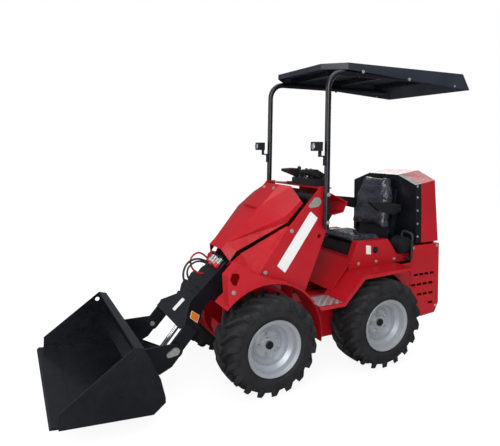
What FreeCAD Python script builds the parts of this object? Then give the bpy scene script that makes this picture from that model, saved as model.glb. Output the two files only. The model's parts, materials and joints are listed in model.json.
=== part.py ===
import FreeCAD, Part
import math
import os
from FreeCAD import Vector

# Compact sit-on wheel loader, millimetres. +X forward, +Y to the machine's left, +Z up.
# Shapes are laid out from a datum on the ground midway between the two axles, and the finished
# nodes are moved so that the origin is under the middle of the overall length.

# Wheels and track
wheelbase = 812.0
track = 715.0
tyre_radius = 292.0
tyre_width = 235.0
tyre_shoulder = 30.0
rim_seat_radius = 152.0
rim_width = 216.0
rim_flange = 17.0
rim_sheet = 5.0
hub_radius = 42.0
hub_depth = 52.0                # behind the disc
disc_offset = 78.0              # disc in from the rim's outer edge
disc_sheet = 6.0
motor_radius = 52.0
motor_flange_radius = 70.0
motor_flange = 12.0
axle_radius = 20.0
fit = 0.05                      # radial clearance of a running fit
gap = 5.0                       # clearance between moving pieces

# Chassis
plate = 8.0
sheet = 4.0
chassis_half_width = 228.0
chassis_bottom = 190.0
deck_height = 452.0
chassis_front = 625.0
chassis_rear = 930.0

# Tower that carries the boom
tower_half_width = 328.0
tower_top = 1172.0
arch_gap = 64.0                 # tyre to mudguard
tie_hole_radius = 13.0
tie_down = Vector(34, 0, 880)
seam_gap = 0.8                  # between sheets that meet
cylinder_slot = 62.0            # half width of the way that the lift cylinder swings through

# Boom
boom_pivot = Vector(60, 0, 1087)
hitch_pivot = Vector(912, 0, 296)
boom_width = 200.0
boom_depth = 92.0
boom_top_offset = 61.0          # top plate above the line of the pivot
boom_wall = 8.0
boom_slope = 42.75              # degrees below level, as parked
boom_straight = 910.0           # from the pivot to where the fork spreads
head_end = 1018.0               # where the legs leave the head
head_lip = 43.0                 # cross plate past the legs' start
fork_half_width = 237.0
leg_width = 82.0
leg_plate = 16.0
pivot_pin_radius = 20.0
hitch_pin_radius = 15.0
pin_radius = 12.0               # cylinder pins
boom_heel = 78.0                # lower edge near the pivot, below its line
boom_tube_radius = 45.0
retainer = 8.0                  # teardrop plates on the pins
hitch_pin_head = 22.0
boom_pin_head = 28.0

# Cylinders
lift_base = Vector(-280, 0, 262)
lift_eye = Vector(570, 0, 500)
lift_barrel_radius = 32.0
lift_rod_radius = 17.5
lift_barrel_length = 780.0      # from the base pin
lift_rod_start = 125.0          # rod's inner end, from the base pin
tilt_base = Vector(590, 0, 610)
tilt_eye = Vector(940, 0, 197)
tilt_barrel_radius = 25.0
tilt_rod_radius = 15.0
tilt_barrel_length = 350.0
tilt_rod_start = 150.0
barrel_start = 50.0             # barrel's closed end, from its base pin
bore_start = 60.0               # bottom of a barrel's bore, from its base pin
eye_width = 36.0
eye_wall = 12.0

# Bucket and hitch
bucket_width = 990.0
bucket_plate = 8.0
bucket_tip = Vector(1580, 0, 144)
bucket_lip = (1186, 0, 466)     # corners of the bucket's back, from the top down
bucket_brow = (1141, 0, 452)
bucket_knee = (1066, 0, 280)
bucket_heel = (1044, 0, 178)
bucket_hole = Vector(1200, 0, 420)
bucket_hole_radius = 14.0
hitch_plate = 12.0
hitch_ear_gap = 3.0
hitch_ear_radius = 42.0

# Body
fender_half_width = 440.0
front_fender_half_width = 400.0
step_height = 480.0
seat_box_half_width = 280.0
seat_deck = 694.0
seat_box_top = 806.0
seat_well_half_width = 230.0
seat_width = 372.0
seat_base_height = 74.0
seat_back_thickness = 76.0
seat_back_height = 372.0
seat_back_tilt = 10.0           # degrees back from upright
seat_plate = 12.0
armrest_pivot = Vector(-690, 207, 998)
armrest_pin_radius = 8.0
armrest_bracket = 4.0           # sheet
armrest_half_width = 14.0
air_drum = Vector(-690, 262, 754)
air_drum_radius = 57.0
air_port = 5.0                  # height of the hose port over the drum
air_hose_radius = 8.0
body_half_width = 330.0
engine_half_width = 210.0
slot_height = 18.0              # cooling slots
slot_land = 12.0                # metal between slots
slot_lean = 6.0
slot_pitch = 50.0
hood_half_width = 318.0        # at the front edge
hood_taper = 16.0               # narrower at the rear edge, each side
hood_base_half_width = 328.0
screen_depth = 48.0             # black frame at the hood's front
screen_plate = 5.0
hood_bottom = 768.0
hood_crown_half_width = 146.0
hood_side_top = 1158.0          # at the front edge
hood_crown = 1219.0
hood_rise = 28.0                # of the rear edge over the front
hood_hinge = Vector(-976, 0, 772)
hinge_radius = 10.0
hinge_pin_radius = 5.0
drawbar_pin = Vector(-1040, 0, 308)
drawbar_hole_radius = 13.0

# Canopy
post_radius = 17.0
post_foot = Vector(4, 354, 925)
post_head = Vector(4, 336, 1734)
post_bend = 95.0
roof_front = 2.0
roof_rear = 1108.0
roof_top_half_width = 360.0
roof_low_half_width = 378.0
roof_chamfer = 112.0
roof_top = 1884.0
roof_front_low = 1853.0
roof_low = 1782.0
roof_sheet = 3.0
crossbar_width = 30.0
lamp_size = Vector(44, 60, 52)
lamp_place = Vector(80, 346, 1409)
lamp_bracket = 8.0

half_base = wheelbase / 2
half_track = track / 2
front_axle = Vector(half_base, 0, tyre_radius)
rear_axle = Vector(-half_base, 0, tyre_radius)
arch_radius = tyre_radius + arch_gap
origin_shift = (bucket_tip.x - roof_rear) / 2


def block(x0, x1, y0, y1, z0, z1):
    return Part.makeBox(x1 - x0, y1 - y0, z1 - z0, Vector(x0, y0, z0))


def rod(start, axis, radius, length):
    return Part.makeCylinder(radius, length, start, axis)


def rod_y(x, z, radius, y0, y1):
    return rod(Vector(x, y0, z), Vector(0, 1, 0), radius, y1 - y0)


def profile_y(points, y0, y1):
    """Plate with an outline of (x, z) points, from y0 to y1."""
    corners = [Vector(x, y0, z) for x, z in points]
    outline = Part.makePolygon(corners + corners[:1])
    return Part.Face(outline).extrude(Vector(0, y1 - y0, 0))


def profile_z(points, z0, z1):
    corners = [Vector(x, y, z0) for x, y in points]
    outline = Part.makePolygon(corners + corners[:1])
    return Part.Face(outline).extrude(Vector(0, 0, z1 - z0))


def profile_x(points, x0, x1):
    corners = [Vector(x0, y, z) for y, z in points]
    outline = Part.makePolygon(corners + corners[:1])
    return Part.Face(outline).extrude(Vector(x1 - x0, 0, 0))


def fuse(first, *others):
    return first.multiFuse(list(others)).removeSplitter()


def mirrored(shape):
    return shape.mirror(Vector(0, 0, 0), Vector(0, 1, 0))


def both_sides(shape):
    return [shape, mirrored(shape)]


def offset_line(points, distance):
    """The same open line of (a, b) points, moved sideways to its left by the distance."""
    moved = []
    for i, (a, b) in enumerate(points):
        before = points[max(i - 1, 0)]
        after = points[min(i + 1, len(points) - 1)]
        turns = []
        if i > 0:
            turns.append(math.atan2(b - before[1], a - before[0]))
        if i < len(points) - 1:
            turns.append(math.atan2(after[1] - b, after[0] - a))
        first, last = turns[0], turns[-1]
        half = (last - first) / 2
        middle = first + half
        reach = distance / math.cos(half)
        moved.append((a - reach * math.sin(middle), b + reach * math.cos(middle)))
    return moved


def bent_sheet_y(points, thickness, y0, y1):
    """Sheet folded along an (x, z) line, thickness to the left of the line."""
    return profile_y(points + offset_line(points, thickness)[::-1], y0, y1)


def facets(polygons):
    """Closed solid from flat polygons of Vectors."""
    faces = []
    for corners in polygons:
        if len(corners) > 3:
            fan = [(corners[0], corners[i], corners[i + 1]) for i in range(1, len(corners) - 1)]
        else:
            fan = [tuple(corners)]
        faces += [Part.Face(Part.makePolygon([a, b, c, a])) for a, b, c in fan]
    shell = Part.makeShell(faces)
    solid = Part.makeSolid(shell)
    if solid.Volume < 0:
        solid.reverse()
    return solid.removeSplitter()


def lofted(rings):
    """Solid with flat facets between rings that have the same number of corners."""
    polygons = [rings[0], rings[-1][::-1]]
    for one, two in zip(rings, rings[1:]):
        count = len(one)
        for i in range(count):
            j = (i + 1) % count
            polygons += [(one[j], one[i], two[i]), (one[j], two[i], two[j])]
    return facets(polygons)


def folded_sheet(corners, triangles, thickness):
    """Solid sheet under a skin of triangles, which index the corners counterclockwise from outside."""
    normals = [Vector() for _ in corners]
    for a, b, c in triangles:
        across = (corners[b] - corners[a]).cross(corners[c] - corners[a]).normalize()
        for i in (a, b, c):
            normals[i] += across
    under = [corner - normal.normalize() * thickness for corner, normal in zip(corners, normals)]
    polygons = [[corners[i] for i in triangle] for triangle in triangles]
    polygons += [[under[i] for i in triangle[::-1]] for triangle in triangles]
    edges = [(t[i], t[(i + 1) % 3]) for t in triangles for i in range(3)]
    for a, b in edges:
        if (b, a) not in edges:
            polygons += [(corners[b], corners[a], under[a]), (corners[b], under[a], under[b])]
    return facets(polygons)


def pipe(points, radius, bend):
    """Round bar along straight runs joined by arcs of the bend radius."""
    edges = []
    start = points[0]
    for before, corner, after in zip(points, points[1:], points[2:]):
        back = (before - corner).normalize()
        ahead = (after - corner).normalize()
        half = back.getAngle(ahead) / 2
        setback = bend / math.tan(half)
        first = corner + back * setback
        last = corner + ahead * setback
        middle = (back + ahead).normalize() * (bend / math.sin(half) - bend) + corner
        edges.append(Part.makeLine(start, first))
        edges.append(Part.Arc(first, middle, last).toShape())
        start = last
    edges.append(Part.makeLine(start, points[-1]))
    path = Part.Wire(edges)
    circle = Part.makeCircle(radius, points[0], points[1] - points[0])
    return path.makePipeShell([Part.Wire([circle])], True, True)


def arch_cut(centre, radius, y0, y1):
    return rod_y(centre.x, centre.z, radius, y0, y1)


def arch_sheet(centre, radius, thickness, y0, y1, low, high):
    """Mudguard round a wheel centre, from the low to the high angle in degrees."""
    outer = Part.makeCylinder(radius + thickness, y1 - y0, Vector(0, 0, 0), Vector(0, 0, 1), high - low)
    inner = Part.makeCylinder(radius, y1 - y0, Vector(0, 0, 0), Vector(0, 0, 1), high - low)
    ring = outer.cut(inner)
    ring.rotate(Vector(0, 0, 0), Vector(0, 0, 1), low)
    ring.rotate(Vector(0, 0, 0), Vector(1, 0, 0), 90)
    ring.translate(Vector(centre.x, y1, centre.z))
    return ring


# Boom frame: u runs down the boom from its pivot, v stands off its top side.
boom_u = Vector(math.cos(math.radians(boom_slope)), 0, -math.sin(math.radians(boom_slope)))
boom_v = Vector(math.sin(math.radians(boom_slope)), 0, math.cos(math.radians(boom_slope)))


def on_boom(u, v, y=0.0):
    point = boom_pivot + boom_u * u + boom_v * v
    return Vector(point.x, y, point.z)


# ---------------------------------------------------------------- wheels

def wheel_rim(axle):
    """Pressed rim with a disc and hub, bored to turn on the motor shaft."""
    inner = half_track - rim_width / 2
    outer = half_track + rim_width / 2
    flange = rim_seat_radius + rim_flange
    well = rim_seat_radius - 26
    disc = outer - disc_offset
    line = [(inner, flange), (inner + 9, rim_seat_radius), (inner + 40, rim_seat_radius - 3),
            (inner + 52, well), (outer - 62, well), (outer - 44, rim_seat_radius - 3),
            (outer - 9, rim_seat_radius), (outer, flange)]
    section = line + offset_line(line, -rim_sheet)[::-1]
    barrel = revolved(section, axle)
    plate_line = [(disc, hub_radius - 2), (disc, 78), (disc - 16, 96), (disc - 16, well - 1)]
    disc_plate = revolved(plate_line + offset_line(plate_line, disc_sheet)[::-1], axle)
    hub = rod_y(axle.x, axle.z, hub_radius, disc - hub_depth, disc + 8)
    bore = rod_y(axle.x, axle.z, axle_radius + fit, disc - hub_depth - 8, disc + 2)
    rim = fuse(barrel, disc_plate, hub)
    return rim.cut(bore)


def revolved(section, axle):
    """Ring turned about a wheel axis from (y, radius) points."""
    corners = [Vector(axle.x, y, axle.z + r) for y, r in section]
    face = Part.Face(Part.makePolygon(corners + corners[:1]))
    return face.revolve(axle, Vector(0, 1, 0), 360)


def tyre(axle):
    """Closed tyre body, seated on the rim from flange to flange."""
    inner = half_track - tyre_width / 2
    outer = half_track + tyre_width / 2
    seat_in = half_track - rim_width / 2 + 9.5
    seat_out = half_track + rim_width / 2 - 9.5
    shoulder = tyre_radius - tyre_shoulder
    bead = rim_seat_radius + 0.5
    section = [(seat_in, bead), (seat_in - 3, bead + rim_flange + 3), (inner, bead + 55),
               (inner + 4, shoulder), (inner + 26, tyre_radius - 4), (half_track, tyre_radius),
               (outer - 26, tyre_radius - 4), (outer - 4, shoulder), (outer, bead + 55),
               (seat_out + 3, bead + rim_flange + 3), (seat_out, bead)]
    return revolved(section, axle)


def wheel_motors(axle):
    """Hydraulic motor, flange and shaft on each side of one axle line."""
    disc = half_track + rim_width / 2 - disc_offset
    housing_end = disc - hub_depth - gap
    flange_end = chassis_half_width + motor_flange
    flange = rod_y(axle.x, axle.z, motor_flange_radius, chassis_half_width, flange_end)
    housing = rod_y(axle.x, axle.z, motor_radius, flange_end, housing_end)
    shaft = rod_y(axle.x, axle.z, axle_radius, housing_end, disc)
    return Part.makeCompound(both_sides(fuse(flange, housing, shaft)))


# ---------------------------------------------------------------- chassis and tower

def chassis():
    """Open-topped welded box between the wheels, with a rounded nose."""
    nose = [(-chassis_rear, chassis_bottom), (chassis_front - 95, chassis_bottom),
            (chassis_front - 30, chassis_bottom + 55), (chassis_front, chassis_bottom + 140),
            (chassis_front - 8, 520), (560, 560), (300, 600), (120, deck_height),
            (-chassis_rear, deck_height)]
    inside = chassis_half_width - plate
    side = profile_y(nose, inside, chassis_half_width)
    floor = block(-chassis_rear, chassis_front - 95, -inside, inside, chassis_bottom,
                  chassis_bottom + plate)
    back = block(-chassis_rear, -chassis_rear + plate, -inside, inside, chassis_bottom, deck_height)
    front_line = [(chassis_front - 95, chassis_bottom), (chassis_front - 30, chassis_bottom + 55),
                  (chassis_front, chassis_bottom + 140), (chassis_front - 4, chassis_bottom + 190)]
    front = bent_sheet_y(front_line, plate, -inside, inside)
    front = front.cut(block(500, 700, -cylinder_slot, cylinder_slot, chassis_bottom + 85, 700))
    deck = block(-200, 130, cylinder_slot, inside, deck_height - sheet, deck_height)
    wall = block(-200, 130, cylinder_slot, cylinder_slot + sheet, chassis_bottom + plate, deck_height)
    return fuse(side, mirrored(side), floor, back, front, deck, mirrored(deck), wall, mirrored(wall))


def tower_side(nose, guard_start):
    """Tall side plate with the mudguard over the front wheel, on the left."""
    outer = tower_half_width
    inner = outer - plate
    outline = [(-30, tower_top), (35, tower_top), (245, 950), (433, 692)] + nose
    outline += [(150, 490), (134, 531), (22, 808), (-30, 945)]
    web = profile_y(outline, inner, outer)
    web = web.cut(arch_cut(front_axle, arch_radius, inner - 1, outer + 1))
    guard = arch_sheet(front_axle, arch_radius, sheet, chassis_half_width, front_fender_half_width,
                       guard_start, 187)
    pin_hole = rod_y(boom_pivot.x, boom_pivot.z, pivot_pin_radius, inner - 1, outer + 1)
    tie_hole = rod_y(tie_down.x, tie_down.z, tie_hole_radius, inner - 1, outer + 1)
    return fuse(web, guard).cut(pin_hole).cut(tie_hole)


def front_fender(nose):
    """Skirt over the front wheel, outside the tower plate."""
    inner = tower_half_width
    outer = front_fender_half_width
    top = [(150, 556), (200, 596), (300, 648), (433, 690)] + nose
    cover = bent_sheet_y(top, -sheet, inner, outer)
    skirt = profile_y(top + [(nose[-1][0] - 40, 500), (100, 500)], outer - sheet, outer)
    ring = arch_cut(front_axle, arch_radius + sheet, inner - 1, outer + 1)
    fender = fuse(cover, skirt).cut(ring)
    hole = [(604, 733), (592, 715), (612, 668), (632, 671), (650, 707), (636, 738)]
    return fender.cut(profile_y(hole, outer - sheet - 1, outer + 1))


def tower_shoulder(front_edge, fold, inner_edge):
    """Sloping panel from the tower's front edge in to the boom cover's hem, on the left."""
    corners = [Vector(*corner) for corner in inner_edge + fold + front_edge]
    count = len(fold)
    skin = []
    for row in (0, count):
        for i in range(row, row + count - 1):
            skin += [(i, i + 1, i + count + 1), (i, i + count + 1, i + count)]
    return folded_sheet(corners, skin, sheet)


def tower_crown():
    """Level plate across the tower's top, which carries the controls, with its back panel."""
    inside = tower_half_width - plate
    base = tower_top - 12
    outline = [(20, -inside), (20, inside), (-52, inside), (-136, 165), (-136, -165), (-52, -inside)]
    top = profile_z(outline, base, base + sheet)
    closure = block(-136, -132, -165, 165, 1088, base + sheet)
    back = bent_sheet_y([(-47, 1134), (-174, 1075), (-147, 1013), (-76, 1000)], sheet, -inside, inside)
    return fuse(top, closure, back)


def tower_back():
    """Pair of plates behind the tower, either side of the lift cylinder's slot."""
    line = [(-30, 945), (22, 808), (132, 533), (135, deck_height + 1)]
    panel = bent_sheet_y(line, sheet, cylinder_slot, tower_half_width - plate)
    panel = panel.cut(block(112, 200, chassis_half_width - plate - seam_gap, chassis_half_width + seam_gap,
                            deck_height - 1, deck_height + 60))    # clears the chassis side's slope
    return Part.makeCompound(both_sides(panel.cut(arch_cut(front_axle, arch_radius + sheet + 2, 200, 400))))


def boom_pin():
    """Pivot pin through the tower with a teardrop retainer on each end."""
    reach = tower_half_width
    pin = rod_y(boom_pivot.x, boom_pivot.z, pivot_pin_radius, -reach, reach)
    drop = []
    for side in (-1, 1):
        y0 = reach if side > 0 else -reach - retainer
        head = rod_y(boom_pivot.x, boom_pivot.z, boom_pin_head, y0, y0 + retainer)
        tail = rod_y(boom_pivot.x + 42, boom_pivot.z - 22, 12, y0, y0 + retainer)
        bridge = profile_y(tangent_quad(boom_pivot, boom_pin_head, 42, -22, 12), y0, y0 + retainer)
        drop += [head, tail, bridge]
    return fuse(pin, *drop)


def tangent_quad(centre, radius, dx, dz, end_radius):
    """Straight sides of a teardrop between two circles."""
    lean = math.asin((radius - end_radius) / math.hypot(dx, dz))
    x, z = centre.x, centre.z
    points = []
    for side in (1, -1):
        angle = math.atan2(dz, dx) + side * (math.pi / 2 - lean)
        across, up = math.cos(angle), math.sin(angle)
        points.append((x + radius * across, z + radius * up))
        points.append((x + dx + end_radius * across, z + dz + end_radius * up))
    return [points[0], points[1], points[3], points[2]]


def lift_bracket():
    """Pair of ears on the chassis floor that hold the lift cylinder's base."""
    floor = chassis_bottom + plate
    x, z = lift_base.x, lift_base.z
    ear = profile_y([(x - 50, floor), (x + 50, floor), (x + 22, z + 20), (x - 22, z + 20)],
                    eye_width / 2 + 2, eye_width / 2 + 14)
    pin = rod_y(x, z, pin_radius, -eye_width / 2 - 22, eye_width / 2 + 22)
    return fuse(ear, mirrored(ear), pin)


# ---------------------------------------------------------------- controls

def control_console():
    """Valve box on the tower with two hand shields."""
    base_z = tower_top - 12 + sheet
    box = block(-134, -20, -80, 174, base_z, base_z + 44)
    shield = [(18, 1262), (-58, 1266), (-132, 1226), (-118, 1196), (18, 1246)]
    shields = []
    for y0, y1, shift in ((-158, -62, 0), (40, 140, -14)):
        shields.append(profile_y([(x + shift, z) for x, z in shield], y0, y1))
        shields.append(block(-112, -60, y0 + 30, y1 - 30, base_z + sheet, 1222))
    plinth = block(-134, -20, -150, 174, base_z, base_z + 12)
    return fuse(box, plinth, *shields)


def control_levers():
    """Drive and boom levers with ball knobs."""
    base_z = tower_top - 12 + sheet
    levers = []
    for x, y, rise, height, lean in ((-38, -11, 44, 62, 6), (-95, 14, 44, 46, -10), (-95, -37, 44, 46, -10),
                                     (-112, 158, 44, 16, -8)):
        foot = Vector(x, y, base_z + rise)
        start = foot + Vector(0, 0, 10)
        head = foot + Vector(lean, 0, height)
        stick = rod(start, head - start, 5, (head - start).Length)
        boot = Part.makeCone(14, 8, 18, foot, Vector(0, 0, 1))
        levers.append(fuse(stick, boot, Part.makeSphere(13, head)))
    return Part.makeCompound(levers)


# ---------------------------------------------------------------- body behind the tower

def side_step():
    """Step and rear fender in one folded sheet, on the left."""
    outer = fender_half_width
    inner = chassis_half_width
    line = [(-636, 600), (-618, 640), (-229, 628), (-82, step_height), (112, step_height)]
    top = bent_sheet_y(line, -sheet, inner, outer)
    lip = profile_y(line + offset_line(line, -22)[::-1], outer - sheet, outer)
    guard_cut = arch_cut(front_axle, arch_radius + sheet + 2, inner - 1, outer + 1)
    skirt = profile_y([(-118, step_height - sheet), (100, step_height - sheet), (100, 252), (-118, 252)],
                      chassis_half_width + 2, chassis_half_width + 2 + sheet)
    step = fuse(top, lip, skirt).cut(guard_cut)
    tyre_clear = arch_cut(rear_axle, tyre_radius + 20, inner - 1, outer + 1)
    return step.cut(tyre_clear)


def seat_box():
    """Pedestal of folded sheet: sloping front, seat deck, a raised box each side and low side bands."""
    half = seat_box_half_width
    front = bent_sheet_y([(-103, 510), (-256, seat_deck)], sheet, -half, half)
    deck = block(-748, -256, -half, half, seat_deck - sheet, seat_deck)
    deck = deck.cut(block(-760, -705, -engine_half_width - gap, engine_half_width + gap, 600, 800))
    well = seat_well_half_width
    side = [(-256, seat_deck - 1), (-294, seat_box_top), (-551, seat_box_top), (-639, seat_deck - 1)]
    hollow = [(-262, seat_deck - 8), (-298, seat_box_top - sheet), (-549, seat_box_top - sheet),
              (-632, seat_deck - 8)]
    box = profile_y(side, well, half).cut(profile_y(hollow, well + sheet, half - sheet))
    band = [(-229, 629), (-256, seat_deck), (-748, seat_deck), (-748, 641), (-642, 641)]
    rail = profile_y(band, half - sheet, half)
    return fuse(front, deck, box, mirrored(box), rail, mirrored(rail))


def seat_frame():
    """Black seat base, back plate and armrest brackets."""
    half = seat_width / 2
    top = seat_deck + seat_base_height
    base = block(-600, -320, -half, half, seat_deck, top)
    back = bent_sheet_y([(-723, 1120), (-688, 900), (-656, top), (-592, top - seat_plate)], -seat_plate,
                        -half + 30, half - 30)
    near = armrest_pivot.y - gap - armrest_bracket - armrest_half_width
    bracket_line = [(-656, 770), (-686, 770), (-712, 960), (-712, 1012), (-676, 1012), (-676, 960)]
    bracket = profile_y(bracket_line, near, near + armrest_bracket)
    pin = rod_y(armrest_pivot.x, armrest_pivot.z, armrest_pin_radius, near, armrest_pivot.y)
    bar = block(-686, -656, -near - armrest_bracket, near + armrest_bracket, 770, 782)
    return fuse(base, back, bar, *both_sides(fuse(bracket, pin)))


def seat_cushion():
    half = seat_width / 2
    base = seat_deck + seat_base_height + 2
    outline = [(-335, base + 2), (-326, base + 32), (-350, base + 52), (-580, base + 44),
               (-604, base + 28), (-598, base)]
    shape = profile_y(outline, -half, half)
    return shape.makeFillet(14, shape.Edges)


def seat_back():
    half = seat_width / 2 - 4
    foot = seat_deck + 138
    top = foot + seat_back_height
    outline = [(-half, foot), (half, foot), (half, foot + 230), (half - 62, top), (-half + 62, top),
               (-half, foot + 230)]
    slab = profile_x(outline, -seat_back_thickness / 2, seat_back_thickness / 2)
    slab = slab.makeFillet(16, slab.Edges)
    slab.rotate(Vector(0, 0, foot), Vector(0, 1, 0), -seat_back_tilt)
    slab.translate(Vector(-630, 0, 10))
    return slab


def armrest():
    """Padded arm on the left, hinged at its rear."""
    low = armrest_pivot.y - armrest_half_width
    outline = [(-442, 1040), (-440, 1056), (-640, 1034), (-704, 1020), (-706, 978), (-640, 956),
               (-520, 985)]
    pad = profile_y(outline, low, low + 2 * armrest_half_width + 6)
    bore = rod_y(armrest_pivot.x, armrest_pivot.z, armrest_pin_radius + fit, low - 1, armrest_pivot.y + 1)
    return pad.cut(bore)


def engine_block():
    return block(-914, -712, -engine_half_width, engine_half_width, 215, 735)


def rear_body():
    """Lower rear panels round the engine, open at the front, with rows of cooling slots."""
    outer = body_half_width
    side = [(-718, 262), (-843, 242), (-969, 251), (-1002, 320), (-973, 752), (-718, 752)]
    shell = profile_y(side, -outer, outer)
    hollow = profile_y([(-700, 200), (-930, 200), (-966, 255), (-996, 324), (-968, 746), (-700, 746)],
                       -outer + sheet, outer - sheet)
    cap_cut = block(-935, -700, -270, 270, 740, 760)
    drum_cut = block(-760, -700, 200, outer - sheet, 740, 760)
    tongue_cut = block(-1010, -970, -48, 48, 296, 320)
    body = shell.cut(hollow).cut(cap_cut).cut(drum_cut).cut(tongue_cut)
    tyre_clear = arch_cut(rear_axle, tyre_radius + 3 * gap, (track - tyre_width) / 2 - gap, outer + 1)
    body = body.cut(tyre_clear).cut(mirrored(tyre_clear))
    for x0, x1, z in ((-942, -745, 545), (-938, -722, 475), (-945, -784, 402), (-951, -894, 332)):
        count = round((x1 - x0) / slot_pitch)
        pitch = (x1 - x0) / count
        for i in range(count):
            start = x0 + i * pitch
            end = start + pitch - slot_land
            slot = [(start, z - slot_height / 2), (end, z - slot_height / 2),
                    (end + slot_lean, z + slot_height / 2), (start + slot_lean, z + slot_height / 2)]
            body = body.cut(profile_y(slot, -outer - 1, outer + 1))
    hinge = []
    for y in (-275, -173, 125, 227):
        hinge.append(rod_y(hood_hinge.x, hood_hinge.z, hinge_radius, y, y + 48))
        hinge.append(block(hood_hinge.x - 6, hood_hinge.x + 4, y, y + 48, 740, hood_hinge.z))
    for y in (-275, 125):
        hinge.append(rod_y(hood_hinge.x, hood_hinge.z, hinge_pin_radius, y, y + 150))
    return fuse(body, *hinge)


def air_cleaner():
    """Drum air filter on a foot behind the seat, on the left."""
    x, y, z = air_drum
    drum = rod_y(x, z, air_drum_radius, y - 47, y + 38)
    cap = rod_y(x, z, air_drum_radius - 14, y + 38, y + 46)
    foot = block(x - 22, x + 22, y - 32, y + 12, seat_deck, z - air_drum_radius + 8)
    port = rod(air_drum, Vector(0, 0, 1), 14, air_drum_radius + air_port)
    return fuse(drum, cap, foot, port)


def air_hose():
    """Breather hose from the drum down to the side band."""
    top = air_drum.z + air_drum_radius + air_port
    x, y = -706, body_half_width + 14
    points = [Vector(air_drum.x, air_drum.y, top), Vector(air_drum.x, air_drum.y, top + 40),
              Vector(x, y, top + 20), Vector(x, y, 664), Vector(x, seat_box_half_width, 664)]
    return pipe(points, air_hose_radius, 24)


def engine_hood():
    """Hinged hood over the engine with tapered sides and a crowned top, open at the front and below."""
    low_front, low_rear, top_front, top_rear = -756, -962, -736, -925

    def shape(inset, front_shift):
        low_z = hood_bottom - (1 if inset else 0)
        low = hood_base_half_width - inset
        rings = []
        for foot_x, top_x, taper, rise in ((low_rear + inset, top_rear + inset, hood_taper, hood_rise),
                                           (low_front + front_shift, top_front + front_shift, 0, 0)):
            half = hood_half_width - taper - inset
            crown = hood_crown_half_width
            side_top = hood_side_top + rise - inset
            crown_top = hood_crown + rise - inset
            rings.append([Vector(foot_x, -low, low_z), Vector(top_x, -half, side_top),
                          Vector(top_x, -crown, crown_top), Vector(top_x, crown, crown_top),
                          Vector(top_x, half, side_top), Vector(foot_x, low, low_z)])
        return lofted(rings)

    hood = shape(0, 0).cut(shape(sheet, 0.5))
    below, above = hood_bottom - 5, hood_crown + 40

    def slice_at(front, rear):
        outline = [(low_front + front, below), (top_front + front, above), (top_front - rear, above),
                   (low_front - rear, below)]
        return profile_y(outline, -400, 400)

    cutter = slice_at(5, screen_depth)
    hood_shell = hood.cut(cutter)
    hinge = []
    for y in (-225, 175):
        hinge.append(rod_y(hood_hinge.x, hood_hinge.z, hinge_radius, y, y + 50))
        hinge.append(block(hood_hinge.x, low_rear + 2, y, y + 50, hood_hinge.z + 2, hood_hinge.z + 24))
    bores = [rod_y(hood_hinge.x, hood_hinge.z, hinge_pin_radius + fit, y - 1, y + 51) for y in (-225, 175)]
    frame = hood.common(cutter)
    front_plate = shape(sheet - 1, 0).common(slice_at(1, screen_plate + 1))
    return fuse(hood_shell, *hinge).cut(bores[0]).cut(bores[1]), fuse(frame, front_plate)


def drawbar():
    """Rear tow plate with a pin hole."""
    tongue = block(drawbar_pin.x - 30, -chassis_rear, -45, 45, 300, 316)
    hole = rod(Vector(drawbar_pin.x, 0, 299), Vector(0, 0, 1), drawbar_hole_radius, 20)
    foot = block(-chassis_rear - 10, -chassis_rear, -70, 70, 262, 360)
    return fuse(tongue, foot).cut(hole)


# ---------------------------------------------------------------- canopy

def canopy_post():
    """Bent tube from the tower to the roof, on the left."""
    corner = Vector(post_head.x, post_head.y, post_head.z + post_bend)
    end = Vector(-roof_rear + 90, post_head.y, post_head.z + post_bend)
    tube = pipe([post_foot, corner, end], post_radius, post_bend)
    pads = [block(post_foot.x - 12, post_foot.x + 12, tower_half_width, post_foot.y - 6, z, z + 40)
            for z in (945, 1110)]
    return fuse(tube, *pads)


def canopy_roof():
    """Shallow tray with chamfered front corners and skirts that deepen to the rear, open below."""
    def rings(inset, lower):
        half = roof_top_half_width - inset
        flare = roof_low_half_width - roof_top_half_width
        front = -roof_front - inset
        rear = -roof_rear + inset
        cut = roof_chamfer
        top = [Vector(front, -half + cut, 0), Vector(front, half - cut, 0), Vector(front - cut, half, 0),
               Vector(rear + 50, half, 0), Vector(rear + 50, -half, 0), Vector(front - cut, -half, 0)]
        high = [point + Vector(0, 0, roof_top - inset) for point in top]
        low = []
        for point in top:
            share = (front - point.x) / (front - rear - 50)
            drop = roof_front_low + (roof_low - roof_front_low) * share - lower
            side = 1 if point.y > 0 else -1
            back = 50 if share > 0.9 else 0
            low.append(Vector(point.x - back, point.y + side * flare * share, drop))
        return [low, high]
    return lofted(rings(0, 0)).cut(lofted(rings(roof_sheet, 1)))


def canopy_crossbars():
    """Bars on the two post tubes that carry the roof sheet."""
    reach = post_head.y + 6
    low = post_head.z + post_bend + post_radius
    return Part.makeCompound([block(x, x + crossbar_width, -reach, reach, low, roof_top - roof_sheet)
                              for x in (-200, -560, -960)])


def work_light():
    """Lamp and its bracket on the left post."""
    y, z = lamp_place.y, lamp_place.z
    size = lamp_size
    corner = lamp_place - size / 2
    lamp = Part.makeBox(size.x, size.y, size.z, corner)
    near = post_foot.x + post_radius
    low = corner.z - 34
    y0, y1 = y - 12, y + 12
    arm = block(near, corner.x + 4, y0, y1, low, low + lamp_bracket)
    web = block(near, near + 6, y0, y1, low - 50, low + lamp_bracket)
    riser = block(corner.x - 4, corner.x + 4, y0, y1, low, z)
    return fuse(lamp, arm, web, riser)


# ---------------------------------------------------------------- boom

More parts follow.
